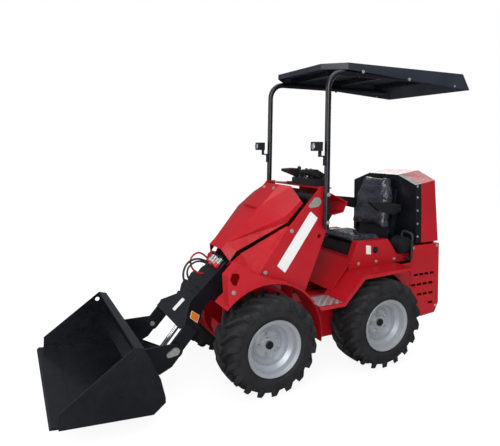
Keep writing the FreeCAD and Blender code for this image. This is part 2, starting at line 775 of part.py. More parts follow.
def boom_arm():
    """Channel boom, open below, that spreads into a fork with two legs."""
    half = boom_width / 2
    length = boom_straight
    top = boom_top_offset
    low = top - boom_depth
    ear = Vector(lift_eye.x, 0, lift_eye.z)

    def extruded(points, y0, y1):
        placed = [Vector(p.x, y0, p.z) for p in points]
        return Part.Face(Part.makePolygon(placed + placed[:1])).extrude(Vector(0, y1 - y0, 0))

    outline = [on_boom(-50, top - 25), on_boom(-25, top), on_boom(length, top), on_boom(length - 25, low),
               on_boom(820, low), ear + Vector(26, 0, -22), ear + Vector(-30, 0, -22), on_boom(640, low),
               on_boom(250, low), on_boom(170, -boom_heel), on_boom(20, -boom_heel), on_boom(-50, -45)]
    web = extruded(outline, half - boom_wall, half)
    web_eye = rod_y(ear.x, ear.z, 34, half - boom_wall, half)
    boss = rod_y(ear.x, ear.z, 24, half, half + 12)
    cover = extruded([on_boom(-25, top), on_boom(length, top), on_boom(length, top - boom_wall),
                      on_boom(-25, top - boom_wall)], -half, half)
    tube_end = tower_half_width - plate - gap
    tube = rod_y(boom_pivot.x, boom_pivot.z, boom_tube_radius, -tube_end, tube_end)
    bore = rod_y(boom_pivot.x, boom_pivot.z, pivot_pin_radius + fit, -400, 400)
    parts = [cover, tube]
    for piece in (web, web_eye, boss):
        parts += [piece, mirrored(piece)]

    head = head_end
    spread = fork_half_width
    for side in (1, -1):
        a, b = side * half, side * (half - leg_plate)
        ring_a = [on_boom(length, top, a), on_boom(length, top, b), on_boom(length - 25, low, b),
                  on_boom(length - 25, low, a)]
        a, b = side * spread, side * (spread - leg_plate)
        ring_b = [on_boom(head, top, a), on_boom(head, top, b), on_boom(head, low, b), on_boom(head, low, a)]
        parts.append(lofted([ring_a, ring_b]))
    inner = spread - leg_plate + 1
    deck_top = [on_boom(length, top, half), on_boom(head, top, spread), on_boom(head, top, inner),
                on_boom(head + head_lip, top, inner), on_boom(head + head_lip, top, -inner),
                on_boom(head, top, -inner), on_boom(head, top, -spread), on_boom(length, top, -half)]
    deck_low = [p - boom_v * boom_wall for p in deck_top]
    parts.append(lofted([deck_low, deck_top]))

    width = leg_width / 2
    toe = hitch_u(boom_pivot, hitch_pivot)
    leg = extruded([on_boom(head - 4, low), on_boom(head - 4, top), on_boom(head + head_lip, top - 12),
                    on_boom(toe.x, toe.y + width), on_boom(toe.x, toe.y - width)], spread - leg_plate, spread)
    eye = rod_y(hitch_pivot.x, hitch_pivot.z, leg_width / 2, spread - leg_plate, spread)
    parts += [leg, mirrored(leg), eye, mirrored(eye)]

    tilt_pin = rod_y(tilt_base.x, tilt_base.z, pin_radius, -half, half)
    parts.append(tilt_pin)
    body = fuse(*parts).cut(bore)
    hitch_bore = rod_y(hitch_pivot.x, hitch_pivot.z, hitch_pin_radius + fit, -400, 400)
    return body.cut(hitch_bore)


def hitch_u(pivot, point):
    """Place of a point in the boom frame, as (u, v)."""
    reach = point - pivot
    return Vector(reach.dot(boom_u), reach.dot(boom_v), 0)


def boom_cover():
    """Faceted sheet hood that rides on the boom, on two ribs."""
    nose, kink, seam, peak = (570, 90, 805), (533, 90, 840), (303, 97, 1059), (172, 90, 1177)
    crease, crease_end, tail = (268, 310, 1006), (153, 305, 1098), (130, 155, 1170)
    tip, bend, hem, hem_end = (541, 150, 741), (499, 152, 796), (243, 306, 976), (136, 304, 1081)
    left = [nose, kink, seam, peak, crease, crease_end, tail, tip, bend, hem, hem_end]
    count = len(left)
    corners = [Vector(*corner) for corner in left] + [Vector(x, -y, z) for x, y, z in left]
    half_skin = [(0, 7, 8), (0, 8, 1), (1, 8, 9), (1, 9, 4), (4, 9, 10), (4, 10, 5), (1, 4, 2), (2, 4, 5),
                 (2, 5, 6), (2, 6, 3)]
    skin = list(half_skin)
    skin += [tuple(i + count for i in triangle[::-1]) for triangle in half_skin]
    for i in range(3):
        skin += [(i, i + 1, i + 1 + count), (i, i + 1 + count, i + count)]
    parts = [folded_sheet(corners, skin, sheet)]
    for u, height in ((230, 101), (470, 76)):
        foot = [on_boom(u, boom_top_offset, -80), on_boom(u, boom_top_offset, 80)]
        head = [on_boom(u, boom_top_offset + height, 80), on_boom(u, boom_top_offset + height, -80)]
        parts.append(Part.Face(Part.makePolygon(foot + head + foot[:1])).extrude(boom_u * sheet))
    return fuse(*parts)


# ---------------------------------------------------------------- cylinders

def cylinder_barrel(base, eye, radius, rod_radius, length):
    """Barrel with a base eye, bored for the rod."""
    axis = (eye - base).normalize()
    tube = rod(base + axis * barrel_start, axis, radius, length - barrel_start)
    neck = rod(base, axis, eye_width / 2 - 1, barrel_start + 2)
    knuckle = rod_y(base.x, base.z, pin_radius + eye_wall, -eye_width / 2, eye_width / 2)
    body = fuse(tube, neck, knuckle)
    bore = rod(base + axis * bore_start, axis, rod_radius + fit, length)
    pin = rod_y(base.x, base.z, pin_radius + fit, -eye_width, eye_width)
    return body.cut(bore).cut(pin)


def cylinder_rod(base, eye, rod_radius, start, pin_reach):
    """Rod with its eye and the pin that turns in it."""
    axis = eye - base
    length = axis.Length
    axis.normalize()
    bar = rod(base + axis * start, axis, rod_radius, length - start - 10)
    knuckle = rod_y(eye.x, eye.z, pin_radius + eye_wall, -eye_width / 2, eye_width / 2)
    pin = rod_y(eye.x, eye.z, pin_radius, -pin_reach, pin_reach)
    return fuse(bar, knuckle, pin)


# ---------------------------------------------------------------- hitch and bucket

def quick_hitch():
    """Hitch frame: an ear on each pivot, a folded back plate and the tilt ears."""
    knee = Vector(*bucket_knee)
    low = knee + (Vector(*bucket_heel) - knee) * 0.92
    high = knee + (Vector(*bucket_brow) - knee) * 0.35
    line = [(low.x, low.z), (knee.x, knee.z), (high.x, high.z)]
    reach = fork_half_width + hitch_ear_gap + hitch_plate
    back = bent_sheet_y(line, hitch_plate, -reach, reach)
    near = fork_half_width + hitch_ear_gap
    x, z = hitch_pivot.x, hitch_pivot.z
    ear_points = [(x - 28, z - 28), (x - 35, z + 22), (x - 7, z + 42), (high.x, high.z), (knee.x, knee.z),
                  (low.x, low.z), (x + 91, z - 117), (x + 23, z - 86)]
    ear = profile_y(ear_points, near, reach)
    ear_end = rod_y(x, z, hitch_ear_radius, near, reach)
    ear_hole = rod_y(x, z, hitch_pin_radius, near - 1, reach + 1)
    lug_points = [(tilt_eye.x - 24, tilt_eye.z - 20), (tilt_eye.x - 20, tilt_eye.z + 24),
                  (knee.x - 6, knee.z + 20), (low.x - 6, low.z + 4)]
    lug = profile_y(lug_points, eye_width / 2 + gap, eye_width / 2 + gap + hitch_plate)
    parts = [back]
    for piece in (fuse(ear, ear_end).cut(ear_hole), lug):
        parts += [piece, mirrored(piece)]
    return fuse(*parts)


def hitch_pins():
    """Pivot pins of the hitch with a teardrop retainer on each ear."""
    near = fork_half_width - leg_plate - 6
    face = fork_half_width + hitch_ear_gap + hitch_plate
    x, z = hitch_pivot.x, hitch_pivot.z
    out = face + retainer
    pin = rod_y(x, z, hitch_pin_radius, near, out)
    head = rod_y(x, z, hitch_pin_head, face, out)
    tail = rod_y(x + 40, z - 15, 12, face, out)
    bridge = profile_y(tangent_quad(hitch_pivot, hitch_pin_head, 40, -15, 12), face, out)
    return Part.makeCompound(both_sides(fuse(pin, head, tail, bridge)))


def bucket():
    """Bucket of bent plate with side plates and a cutting edge."""
    half = bucket_width / 2
    t = bucket_plate
    back = [(x, z) for x, y, z in (bucket_lip, bucket_brow, bucket_knee, bucket_heel)]
    back += [(1044, 150), (1106, 101), (1541, 136)]
    pan = bent_sheet_y(back, t, -half + t, half - t)
    side = profile_y([(1534, 217)] + back, half - t, half)
    tip_x, tip_z = bucket_tip.x, bucket_tip.z
    edge = profile_y([(1470, 131), (tip_x, tip_z), (tip_x - 12, tip_z + 14), (1470, 147)], -half + t, half - t)
    hole = rod_y(bucket_hole.x, bucket_hole.z, bucket_hole_radius, half - t - 1, half + 1)
    side = side.cut(hole)
    return fuse(pan, side, mirrored(side), edge)


# ---------------------------------------------------------------- nodes

left_right = {"left": lambda shape: shape, "right": mirrored}
hood_shell, hood_screen = engine_hood()
nodes = {
    "chassis": chassis(),
    "tower_crown": tower_crown(),
    "tower_back": tower_back(),
    "boom_pin": boom_pin(),
    "lift_bracket": lift_bracket(),
    "control_console": control_console(),
    "control_levers": control_levers(),
    "seat_box": seat_box(),
    "seat_frame": seat_frame(),
    "seat_cushion": seat_cushion(),
    "seat_back": seat_back(),
    "engine_block": engine_block(),
    "rear_body": rear_body(),
    "air_cleaner": air_cleaner(),
    "air_hose": air_hose(),
    "engine_hood": hood_shell,
    "hood_screen": hood_screen,
    "drawbar": drawbar(),
    "canopy_roof": canopy_roof(),
    "canopy_crossbars": canopy_crossbars(),
    "boom_arm": boom_arm(),
    "boom_cover": boom_cover(),
    "lift_cylinder_barrel": cylinder_barrel(lift_base, lift_eye, lift_barrel_radius, lift_rod_radius,
                                            lift_barrel_length),
    "lift_cylinder_rod": cylinder_rod(lift_base, lift_eye, lift_rod_radius, lift_rod_start,
                                      boom_width / 2 - boom_wall - gap),
    "tilt_cylinder_barrel": cylinder_barrel(tilt_base, tilt_eye, tilt_barrel_radius, tilt_rod_radius,
                                            tilt_barrel_length),
    "tilt_cylinder_rod": cylinder_rod(tilt_base, tilt_eye, tilt_rod_radius, tilt_rod_start,
                                      eye_width / 2 + 2),
    "quick_hitch": quick_hitch(),
    "hitch_pins": hitch_pins(),
    "bucket": bucket(),
}
for side_name, turn in left_right.items():
    nodes["side_step_" + side_name] = turn(side_step())
    nodes["canopy_post_" + side_name] = turn(canopy_post())
    nodes["work_light_" + side_name] = turn(work_light())
    nodes["armrest_" + side_name] = turn(armrest())
    for end_name, axle in (("front", front_axle), ("rear", rear_axle)):
        nodes["wheel_rim_%s_%s" % (end_name, side_name)] = turn(wheel_rim(axle))
        nodes["tyre_%s_%s" % (end_name, side_name)] = turn(tyre(axle))
web = tower_half_width - plate - seam_gap
nodes["tower_side_left"] = tower_side([(540, 738), (600, 785), (646, 728), (640, 490)], 43)
nodes["tower_side_right"] = mirrored(tower_side([(462, 668), (470, 600), (470, 490)], 80))
nodes["tower_shoulder_left"] = tower_shoulder(
    [(245, web, 950), (433, web, 692), (540, web, 738), (600, web, 785)],
    [(247, web - 6.2, 954), (446, web - 23.2, 698), (546, web - 43.2, 726), (596, web - 43.2, 772)],
    [(250, web - 13.2, 952), (480, 172, 786), (540, 172, 740), (588, 210, 740)])
nodes["tower_shoulder_right"] = mirrored(tower_shoulder(
    [(245, web, 950), (433, web, 692)],
    [(247, web - 6.2, 954), (446, web - 23.2, 698)],
    [(250, web - 13.2, 952), (440, 200, 812)]))
nodes["front_fender_left"] = front_fender([(540, 742), (600, 789), (666, 722), (658, 566)])
nodes["front_fender_right"] = mirrored(front_fender([(462, 668), (470, 600)]))
nodes["wheel_motors_front"] = wheel_motors(front_axle)
nodes["wheel_motors_rear"] = wheel_motors(rear_axle)

os.makedirs("parts", exist_ok=True)
for name, shape in sorted(nodes.items()):
    shape = shape.copy()
    shape.translate(Vector(-origin_shift, 0, 0))
    if not shape.isValid():
        print("not valid:", name)
    print("%-24s solids %d  volume %.0f" % (name, len(shape.Solids), shape.Volume))
    shape.exportStep("parts/%s.step" % name)
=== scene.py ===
import json
import math
import bmesh
import bpy
from mathutils import Matrix, Vector


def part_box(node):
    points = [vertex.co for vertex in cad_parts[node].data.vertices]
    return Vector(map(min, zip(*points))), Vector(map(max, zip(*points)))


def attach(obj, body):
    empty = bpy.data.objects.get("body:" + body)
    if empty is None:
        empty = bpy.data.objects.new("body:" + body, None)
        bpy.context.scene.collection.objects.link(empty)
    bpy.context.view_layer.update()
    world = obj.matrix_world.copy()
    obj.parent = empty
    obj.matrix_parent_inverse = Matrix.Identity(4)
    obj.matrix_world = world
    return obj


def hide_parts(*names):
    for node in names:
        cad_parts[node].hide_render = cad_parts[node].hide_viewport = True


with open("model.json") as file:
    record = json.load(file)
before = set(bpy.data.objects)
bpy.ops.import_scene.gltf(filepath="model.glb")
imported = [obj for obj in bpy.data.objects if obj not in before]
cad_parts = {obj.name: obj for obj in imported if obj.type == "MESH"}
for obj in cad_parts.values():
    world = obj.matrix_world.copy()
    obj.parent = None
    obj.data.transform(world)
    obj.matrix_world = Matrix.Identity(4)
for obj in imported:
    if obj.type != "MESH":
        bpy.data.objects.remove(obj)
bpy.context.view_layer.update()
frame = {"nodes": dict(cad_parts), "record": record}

# Looks of a compact sit-on wheel loader. Metres, +X forward, +Y to the machine's left, +Z up.
wheelNames = ["front_left", "front_right", "rear_left", "rear_right"]
datumShift = 236         # mm, from the middle of the box back to the middle of the axles
boom = {"pivot": (60, 1087), "slope": 42.75, "topSide": 61}


def mm(x, y, z):
    # a place in the drawing's millimetres
    return Vector((x - datumShift, y, z)) / 1000


def onBoom(u, v, y):
    # u runs down the boom from its pivot, v stands off its top side
    slope = math.radians(boom["slope"])
    x = boom["pivot"][0] + u * math.cos(slope) + v * math.sin(slope)
    z = boom["pivot"][1] - u * math.sin(slope) + v * math.cos(slope)
    return mm(x, y, z)


# Camera, backdrop and lights

view = {"place": (1.431, 2.653, 1.405), "yaw": -116.97, "pitch": -9.09, "roll": 0.24,
        "lens": 34.5, "shift": (-0.0042, 0.001)}


def makeCamera():
    data = bpy.data.cameras.new("camera")
    data.sensor_width = 36
    data.lens = view["lens"]
    data.shift_x, data.shift_y = view["shift"]
    camera = bpy.data.objects.new("camera", data)
    yaw, pitch, roll = (math.radians(view[k]) for k in ("yaw", "pitch", "roll"))
    aim = Vector((math.cos(pitch) * math.cos(yaw), math.cos(pitch) * math.sin(yaw), math.sin(pitch)))
    turn = aim.to_track_quat("-Z", "Y").to_matrix() @ Matrix.Rotation(roll, 3, "Z")
    camera.rotation_euler = turn.to_euler()
    camera.location = view["place"]
    bpy.context.scene.collection.objects.link(camera)
    bpy.context.scene.camera = camera


def linear(colour):
    # sRGB hex to the linear values that a shader takes
    parts = [int(colour[i:i + 2], 16) / 255 for i in (1, 3, 5)]
    return tuple(c / 12.92 if c <= 0.04045 else ((c + 0.055) / 1.055) ** 2.4 for c in parts) + (1,)


def addNode(tree, kind, inputs=None, **settings):
    # a node with its settings; an input is a value or another node's output
    node = tree.nodes.new(kind)
    for name, value in settings.items():
        setattr(node, name, value)
    for name, value in (inputs or {}).items():
        if isinstance(value, bpy.types.NodeSocket):
            tree.links.new(value, node.inputs[name])
        else:
            node.inputs[name].default_value = value
    return node


lamps = [
    # name, place, aim, size, watts
    ("keyLamp", (2.4, 3.4, 3.4), (0.1, 0, 0.7), 2.6, 92),
    ("skyLamp", (-0.3, 0.4, 4.6), (-0.1, 0, 0.6), 5.0, 105),
    ("rearLamp", (-3.2, -1.8, 2.6), (-0.4, 0, 0.9), 2.2, 40),
    ("frontLamp", (3.6, -0.6, 1.7), (0.4, 0, 0.6), 2.4, 34),
    ("stepLamp", (1.9, 3.6, 1.3), (-0.5, 0.2, 0.6), 1.6, 26),
]


studio = {"skyLight": 0.46, "skyInGloss": 0.16, "floor": 0.95, "floorInGloss": 0.12, "glow": 1.1,
          "whiteNear": 0.82, "nearEdge": 1.2, "farEdge": 2.6, "half": 9, "drop": 0.0005}


def makeStudio():
    for name, place, aim, size, watts in lamps:
        data = bpy.data.lights.new(name, "AREA")
        data.size = size
        data.energy = watts
        lamp = bpy.data.objects.new(name, data)
        lamp.location = place
        lamp.rotation_euler = (Vector(aim) - Vector(place)).to_track_quat("-Z", "Y").to_euler()
        bpy.context.scene.collection.objects.link(lamp)
    world = bpy.data.worlds.new("studio")
    bpy.context.scene.world = world
    world.use_nodes = True
    tree = world.node_tree
    tree.nodes.clear()
    path = addNode(tree, "ShaderNodeLightPath")
    seen = addNode(tree, "ShaderNodeMath", {0: path.outputs["Is Camera Ray"],
                                            1: path.outputs["Is Transmission Ray"]}, operation="MAXIMUM")
    white = addNode(tree, "ShaderNodeBackground", {"Color": (1, 1, 1, 1), "Strength": 1.0})
    dimmer = addNode(tree, "ShaderNodeMapRange", {
        "Value": path.outputs["Is Glossy Ray"], "To Min": studio["skyLight"], "To Max": studio["skyInGloss"]})
    soft = addNode(tree, "ShaderNodeBackground", {"Color": linear("#E9EEF6"), "Strength": dimmer.outputs[0]})
    mix = addNode(tree, "ShaderNodeMixShader", {0: seen.outputs[0], 1: soft.outputs[0], 2: white.outputs[0]})
    addNode(tree, "ShaderNodeOutputWorld", {"Surface": mix.outputs[0]})
    mesh = bpy.data.meshes.new("studioFloor")
    half, level = studio["half"], -studio["drop"]
    corners = [(-half, -half, level), (half, -half, level), (half, half, level), (-half, half, level)]
    mesh.from_pydata(corners, [], [(0, 1, 2, 3)])
    floor = bpy.data.objects.new("studioFloor", mesh)
    bpy.context.scene.collection.objects.link(floor)
    paint = bpy.data.materials.new("whiteStudioFloor")
    paint.use_nodes = True
    tree = paint.node_tree
    tree.nodes.clear()
    path = addNode(tree, "ShaderNodeLightPath")
    mirrored = addNode(tree, "ShaderNodeMapRange", {
        "Value": path.outputs["Is Glossy Ray"], "To Min": studio["floor"], "To Max": studio["floorInGloss"]})
    matt = addNode(tree, "ShaderNodeBsdfDiffuse", {"Color": mirrored.outputs[0]})
    glow = addNode(tree, "ShaderNodeEmission", {"Color": (1, 1, 1, 1), "Strength": studio["glow"]})
    place = addNode(tree, "ShaderNodeTexCoord").outputs["Object"]
    away = addNode(tree, "ShaderNodeVectorMath", {0: place}, operation="LENGTH")
    whiter = addNode(tree, "ShaderNodeMapRange", {
        "Value": away.outputs["Value"], "From Min": studio["nearEdge"], "From Max": studio["farEdge"],
        "To Min": studio["whiteNear"], "To Max": 1.0})
    share = addNode(tree, "ShaderNodeMath", {0: path.outputs["Is Camera Ray"], 1: whiter.outputs[0]},
                    operation="MULTIPLY")
    mix = addNode(tree, "ShaderNodeMixShader", {0: share.outputs[0], 1: matt.outputs[0], 2: glow.outputs[0]})
    addNode(tree, "ShaderNodeOutputMaterial", {"Surface": mix.outputs[0]})
    mesh.materials.append(paint)


bpy.context.scene.view_settings.view_transform = "Standard"
makeCamera()
makeStudio()
print("camera and studio ready")


# Materials: each is named for the real stuff and how its surface was made

def newMaterial(name, colour, metallic, roughness, **more):
    material = bpy.data.materials.new(name)
    material.use_nodes = True
    tree = material.node_tree
    shader = tree.nodes["Principled BSDF"]
    shader.inputs["Base Color"].default_value = linear(colour)
    shader.inputs["Metallic"].default_value = metallic
    shader.inputs["Roughness"].default_value = roughness
    for socket, value in more.items():
        shader.inputs[socket.replace("_", " ")].default_value = value
    place = addNode(tree, "ShaderNodeTexCoord").outputs["Object"]
    return material, tree, shader, place


def noise(tree, place, size, detail=3, stretch=(1, 1, 1)):
    # size is the real width of a patch in millimetres
    turned = addNode(tree, "ShaderNodeMapping", {"Vector": place, "Scale": stretch})
    return addNode(tree, "ShaderNodeTexNoise", {"Vector": turned.outputs[0], "Scale": 1000 / size,
                                                "Detail": detail}).outputs["Fac"]


def between(tree, factor, low, high):
    span = addNode(tree, "ShaderNodeMapRange", {"Value": factor, "From Min": 0.3, "From Max": 0.7,
                                                "To Min": low, "To Max": high})
    return span.outputs[0]


def tint(tree, factor, one, two):
    mix = addNode(tree, "ShaderNodeMix", {0: factor}, data_type="RGBA")
    for socket, colour in (("A", one), ("B", two)):
        [s for s in mix.inputs if s.name == socket and s.type == "RGBA"][0].default_value = linear(colour)
    return [s for s in mix.outputs if s.type == "RGBA"][0]


def relief(tree, shader, height, depth, strength=1.0, edge=0.0):
    # depth in millimetres; edge rounds the corners that light catches
    inputs = {"Height": height, "Distance": depth / 1000, "Strength": strength}
    if edge:
        inputs["Normal"] = addNode(tree, "ShaderNodeBevel", {"Radius": edge / 1000}, samples=4).outputs[0]
    bump = addNode(tree, "ShaderNodeBump", inputs)
    tree.links.new(bump.outputs[0], shader.inputs["Normal"])


def makeGlossRedEnamel():
    # baked enamel on sheet steel: glossy, a little orange peel, dust in the flats
    material, tree, shader, place = newMaterial("glossRedEnamel", "#B8101E", 0, 0.34, Coat_Weight=0.15,
                                                Coat_Roughness=0.1)
    dust = noise(tree, place, 260, 4)
    tree.links.new(tint(tree, between(tree, dust, 0, 1), "#BD101E", "#AC0E1A"), shader.inputs["Base Color"])
    tree.links.new(between(tree, noise(tree, place, 40, 5), 0.28, 0.42), shader.inputs["Roughness"])
    relief(tree, shader, noise(tree, place, 9, 1), 0.06, 0.3, 2.0)     # peel is 3 mm, drawn at 9 to show
    return material


def makeGlossBlackEnamel():
    # thick black enamel on welded plate: dark, sharp highlights, fine dust
    material, tree, shader, place = newMaterial("glossBlackEnamel", "#0F1013", 0, 0.3, Coat_Weight=0.3,
                                                Coat_Roughness=0.15)
    dust = between(tree, noise(tree, place, 180, 5), 0, 1)
    tree.links.new(tint(tree, dust, "#0B0D12", "#15181F"), shader.inputs["Base Color"])
    tree.links.new(between(tree, noise(tree, place, 35, 5), 0.24, 0.42), shader.inputs["Roughness"])
    relief(tree, shader, noise(tree, place, 10, 1), 0.08, 0.3, 2.0)
    return material


def makeSatinRoofPaint():
    # slate coating on the roof tray: dull, slightly blue, faint ripples of thin sheet
    material, tree, shader, place = newMaterial("satinSlatePaint", "#262B33", 0, 0.42)
    tree.links.new(tint(tree, between(tree, noise(tree, place, 220, 4), 0, 1), "#232830", "#30363F"),
                   shader.inputs["Base Color"])
    relief(tree, shader, noise(tree, place, 160, 1), 1.2, 0.5, 2.0)
    return material


def makeSilverRimPaint():
    # sprayed silver on a pressed rim: fine flake, soft shine
    material, tree, shader, place = newMaterial("silverRimPaint", "#BFC3C8", 0.55, 0.4)
    flake = between(tree, noise(tree, place, 2.5, 2), 0, 1)            # flake is 0.1 mm, drawn at 2.5
    tree.links.new(tint(tree, flake, "#B4B9BF", "#CBCED2"), shader.inputs["Base Color"])
    tree.links.new(between(tree, noise(tree, place, 60, 4), 0.34, 0.5), shader.inputs["Roughness"])
    relief(tree, shader, noise(tree, place, 9, 3), 0.08, 0.3, 1.5)
    return material


def makeTyreRubber():
    # moulded carbon-black rubber: matt, bloomed grey, dust on the flanks
    material, tree, shader, place = newMaterial("mouldedTyreRubber", "#1C1C1D", 0, 0.78)
    bloom = between(tree, noise(tree, place, 90, 5), 0, 1)
    tree.links.new(tint(tree, bloom, "#18181A", "#262628"), shader.inputs["Base Color"])
    tree.links.new(between(tree, noise(tree, place, 25, 4), 0.68, 0.88), shader.inputs["Roughness"])
    relief(tree, shader, noise(tree, place, 6, 4), 0.5, 0.5, 2.5)
    return material


def makeChromedRod():
    # ground and chromed steel: mirror bright with a faint haze
    material, tree, shader, place = newMaterial("chromedRod", "#CDD0D4", 1, 0.12)
    tree.links.new(between(tree, noise(tree, place, 30, 4), 0.08, 0.18), shader.inputs["Roughness"])
    relief(tree, shader, noise(tree, place, 3, 2), 0.02, 0.3)
    return material


def makeZincPlate():
    # zinc-plated fasteners and pins: bright grey with a mottled bloom
    material, tree, shader, place = newMaterial("zincPlatedSteel", "#B9BAB7", 0.55, 0.36)
    tree.links.new(tint(tree, between(tree, noise(tree, place, 12, 4), 0, 1), "#A6A8A5", "#C8C8C2"),
                   shader.inputs["Base Color"])
    tree.links.new(between(tree, noise(tree, place, 8, 3), 0.28, 0.46), shader.inputs["Roughness"])
    relief(tree, shader, noise(tree, place, 4, 2), 0.05, 0.4, 0.6)
    return material


def makeSeatVinyl():
    # embossed black vinyl under a shipping film: leather grain and loose creases; its blue-grey colour,
    # lighter along the creases, is painted sheen of the film
    material, tree, shader, place = newMaterial("embossedSeatVinylPaintedSheen", "#2C2F36", 0, 0.26, Coat_Weight=1.0,
                                                Coat_Roughness=0.06)
    grainSize = 4                                                      # grain is 2 mm, drawn at 4
    grain = addNode(tree, "ShaderNodeTexVoronoi", {"Vector": place, "Scale": 1000 / grainSize})
    creaseAndSheen = noise(tree, place, 52, 5, (1, 0.5, 1.3))
    both = addNode(tree, "ShaderNodeMath", {0: grain.outputs["Distance"], 1: 0.12}, operation="MULTIPLY")
    total = addNode(tree, "ShaderNodeMath", {0: both.outputs[0], 1: creaseAndSheen}, operation="ADD")
    # painted sheen: the crease pattern also lifts the colour from dark to light blue-grey, standing in for
    # the film's reflections
    tree.links.new(tint(tree, between(tree, creaseAndSheen, 0, 1), "#22252B", "#454A56"), shader.inputs["Base Color"])
    relief(tree, shader, total.outputs[0], 22, 1.0)
    return material


def makeMouldedPlastic():
    # injection-moulded black polypropylene: spark-eroded grain, low shine
    material, tree, shader, place = newMaterial("mouldedBlackPlastic", "#1C1D20", 0, 0.5)
    tree.links.new(between(tree, noise(tree, place, 30, 4), 0.42, 0.6), shader.inputs["Roughness"])
    relief(tree, shader, noise(tree, place, 3, 3), 0.12, 0.5, 1.5)     # grain is 0.3 mm, drawn at 3
    return material


def makeHoseRubber(name, colour):
    # extruded rubber, as on hydraulic hose: satin, slightly uneven
    material, tree, shader, place = newMaterial(name, colour, 0, 0.48)
    tree.links.new(between(tree, noise(tree, place, 15, 3), 0.4, 0.58), shader.inputs["Roughness"])
    relief(tree, shader, noise(tree, place, 2.5, 2), 0.15, 0.5)
    return material


def makeCastIron():
    # painted engine castings: dark, rough sand-cast skin
    material, tree, shader, place = newMaterial("sandCastIron", "#303234", 0.2, 0.7)
    relief(tree, shader, noise(tree, place, 5, 5), 0.6, 0.7, 3.0)
    return material


def makeLabelFilm(name, colour):
    # blank printed vinyl: flat, faintly scuffed
    material, tree, shader, place = newMaterial(name, colour, 0, 0.36)
    tree.links.new(between(tree, noise(tree, place, 18, 4), 0.28, 0.5), shader.inputs["Roughness"])
    relief(tree, shader, noise(tree, place, 14, 2), 0.05, 0.4)
    return material


def makeLampLens():
    # moulded polycarbonate over a bright reflector, with upright ribs
    material, tree, shader, place = newMaterial("ribbedLampLens", "#B9C2CC", 0.6, 0.16, Coat_Weight=0.8,
                                                Coat_Roughness=0.05)
    ribPitch = 11.84                                                   # mm; a wave repeats every tau / 20
    ribs = addNode(tree, "ShaderNodeTexWave", {"Vector": place, "Scale": 1000 * math.tau / 20 / ribPitch,
                                               "Distortion": 0.0}, bands_direction="Y")
    relief(tree, shader, ribs.outputs["Fac"], 1.0, 0.8)
    return material


def makeTreadPlate():
    # bare aluminium chequer plate: brushed along the step
    material, tree, shader, place = newMaterial("chequeredAluminium", "#C9CBCE", 1, 0.36)
    brushed = noise(tree, place, 20, 3, (0.2, 1, 1))
    tree.links.new(between(tree, brushed, 0.28, 0.46), shader.inputs["Roughness"])
    relief(tree, shader, noise(tree, place, 4, 2, (0.15, 1, 1)), 0.06, 0.4)
    return material


red = makeGlossRedEnamel()
black = makeGlossBlackEnamel()
slate = makeSatinRoofPaint()
silver = makeSilverRimPaint()
rubber = makeTyreRubber()
chrome = makeChromedRod()
zinc = makeZincPlate()
vinyl = makeSeatVinyl()
plastic = makeMouldedPlastic()
blackHose = makeHoseRubber("blackHoseCover", "#2B2D2F")
redHose = makeHoseRubber("redHoseCover", "#B4202C")
redCap = makeHoseRubber("redDustCap", "#C81F33")
iron = makeCastIron()
whiteFilm = makeLabelFilm("blankWhiteFilm", "#ECECE8")
orangeFilm = makeLabelFilm("orangeFilm", "#E07A1C")
lens = makeLampLens()
aluminium = makeTreadPlate()

slotMaterials = {"red_paint": red, "black_paint": black, "steel": zinc, "chrome_rod": chrome,
                 "silver_paint": silver, "tyre": rubber, "seat_vinyl": vinyl, "black_plastic": plastic,
                 "lamp_black": plastic, "iron": iron}
nodeMaterials = {"canopy_roof": slate, "air_hose": blackHose, "air_cleaner": plastic,
                 "control_console": plastic, "hood_screen": black, "hitch_pins": zinc}

for part in frame["record"]["subparts"]:
    node = frame["nodes"][part["node"]]
    finish = nodeMaterials.get(part["node"], slotMaterials[part["material_slot"]])
    if not node.material_slots:
        node.data.materials.append(finish)
    for place in node.material_slots:
        place.material = finish
print("materials ready on", len(frame["nodes"]), "nodes")


# Small helpers for pieces

def newPiece(name, mesh, body, material=None):
    piece = bpy.data.objects.new(name, mesh)
    bpy.context.scene.collection.objects.link(piece)
    if material:
        mesh.materials.clear()
        mesh.materials.append(material)
    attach(piece, body)
    return piece


def meshFrom(name, points, faces, smooth=False):
    mesh = bpy.data.meshes.new(name)
    mesh.from_pydata([tuple(p) for p in points], [], faces)
    build = bmesh.new()
    build.from_mesh(mesh)
    bmesh.ops.remove_doubles(build, verts=build.verts, dist=0.00001)
    bmesh.ops.recalc_face_normals(build, faces=build.faces)
    build.to_mesh(mesh)
    build.free()
    for face in mesh.polygons:
        face.use_smooth = smooth
    return mesh


def applied(piece):
    # the piece's evaluated mesh, with no modifier left on it
    depsgraph = bpy.context.evaluated_depsgraph_get()
    depsgraph.update()
    return bpy.data.meshes.new_from_object(piece.evaluated_get(depsgraph))


def runTree(tree, mesh, values):
    # runs a geometry node tree on a mesh, with inputs by name, and returns the plain result
    carrier = bpy.data.objects.new("carrier", mesh)
    bpy.context.scene.collection.objects.link(carrier)
    modifier = carrier.modifiers.new("repeat", "NODES")
    modifier.node_group = tree
    for socket in tree.interface.items_tree:
        if socket.in_out == "INPUT" and socket.name in values:
            modifier[socket.identifier] = values[socket.name]
    result = applied(carrier)
    bpy.data.objects.remove(carrier)
    return result


def newTree(name, inputs):
    tree = bpy.data.node_groups.new(name, "GeometryNodeTree")
    tree.interface.new_socket("Geometry", in_out="INPUT", socket_type="NodeSocketGeometry")
    for label, kind, value in inputs:
        socket = tree.interface.new_socket(label, in_out="INPUT", socket_type="NodeSocket" + kind)
        if value is not None:
            socket.default_value = value
    tree.interface.new_socket("Geometry", in_out="OUTPUT", socket_type="NodeSocketGeometry")
    return tree, addNode(tree, "NodeGroupInput").outputs


def endTree(tree, instances, material):
    real = addNode(tree, "GeometryNodeRealizeInstances", {0: instances})
    painted = addNode(tree, "GeometryNodeSetMaterial", {"Geometry": real.outputs[0], "Material": material})
    addNode(tree, "NodeGroupOutput", {0: painted.outputs[0]})


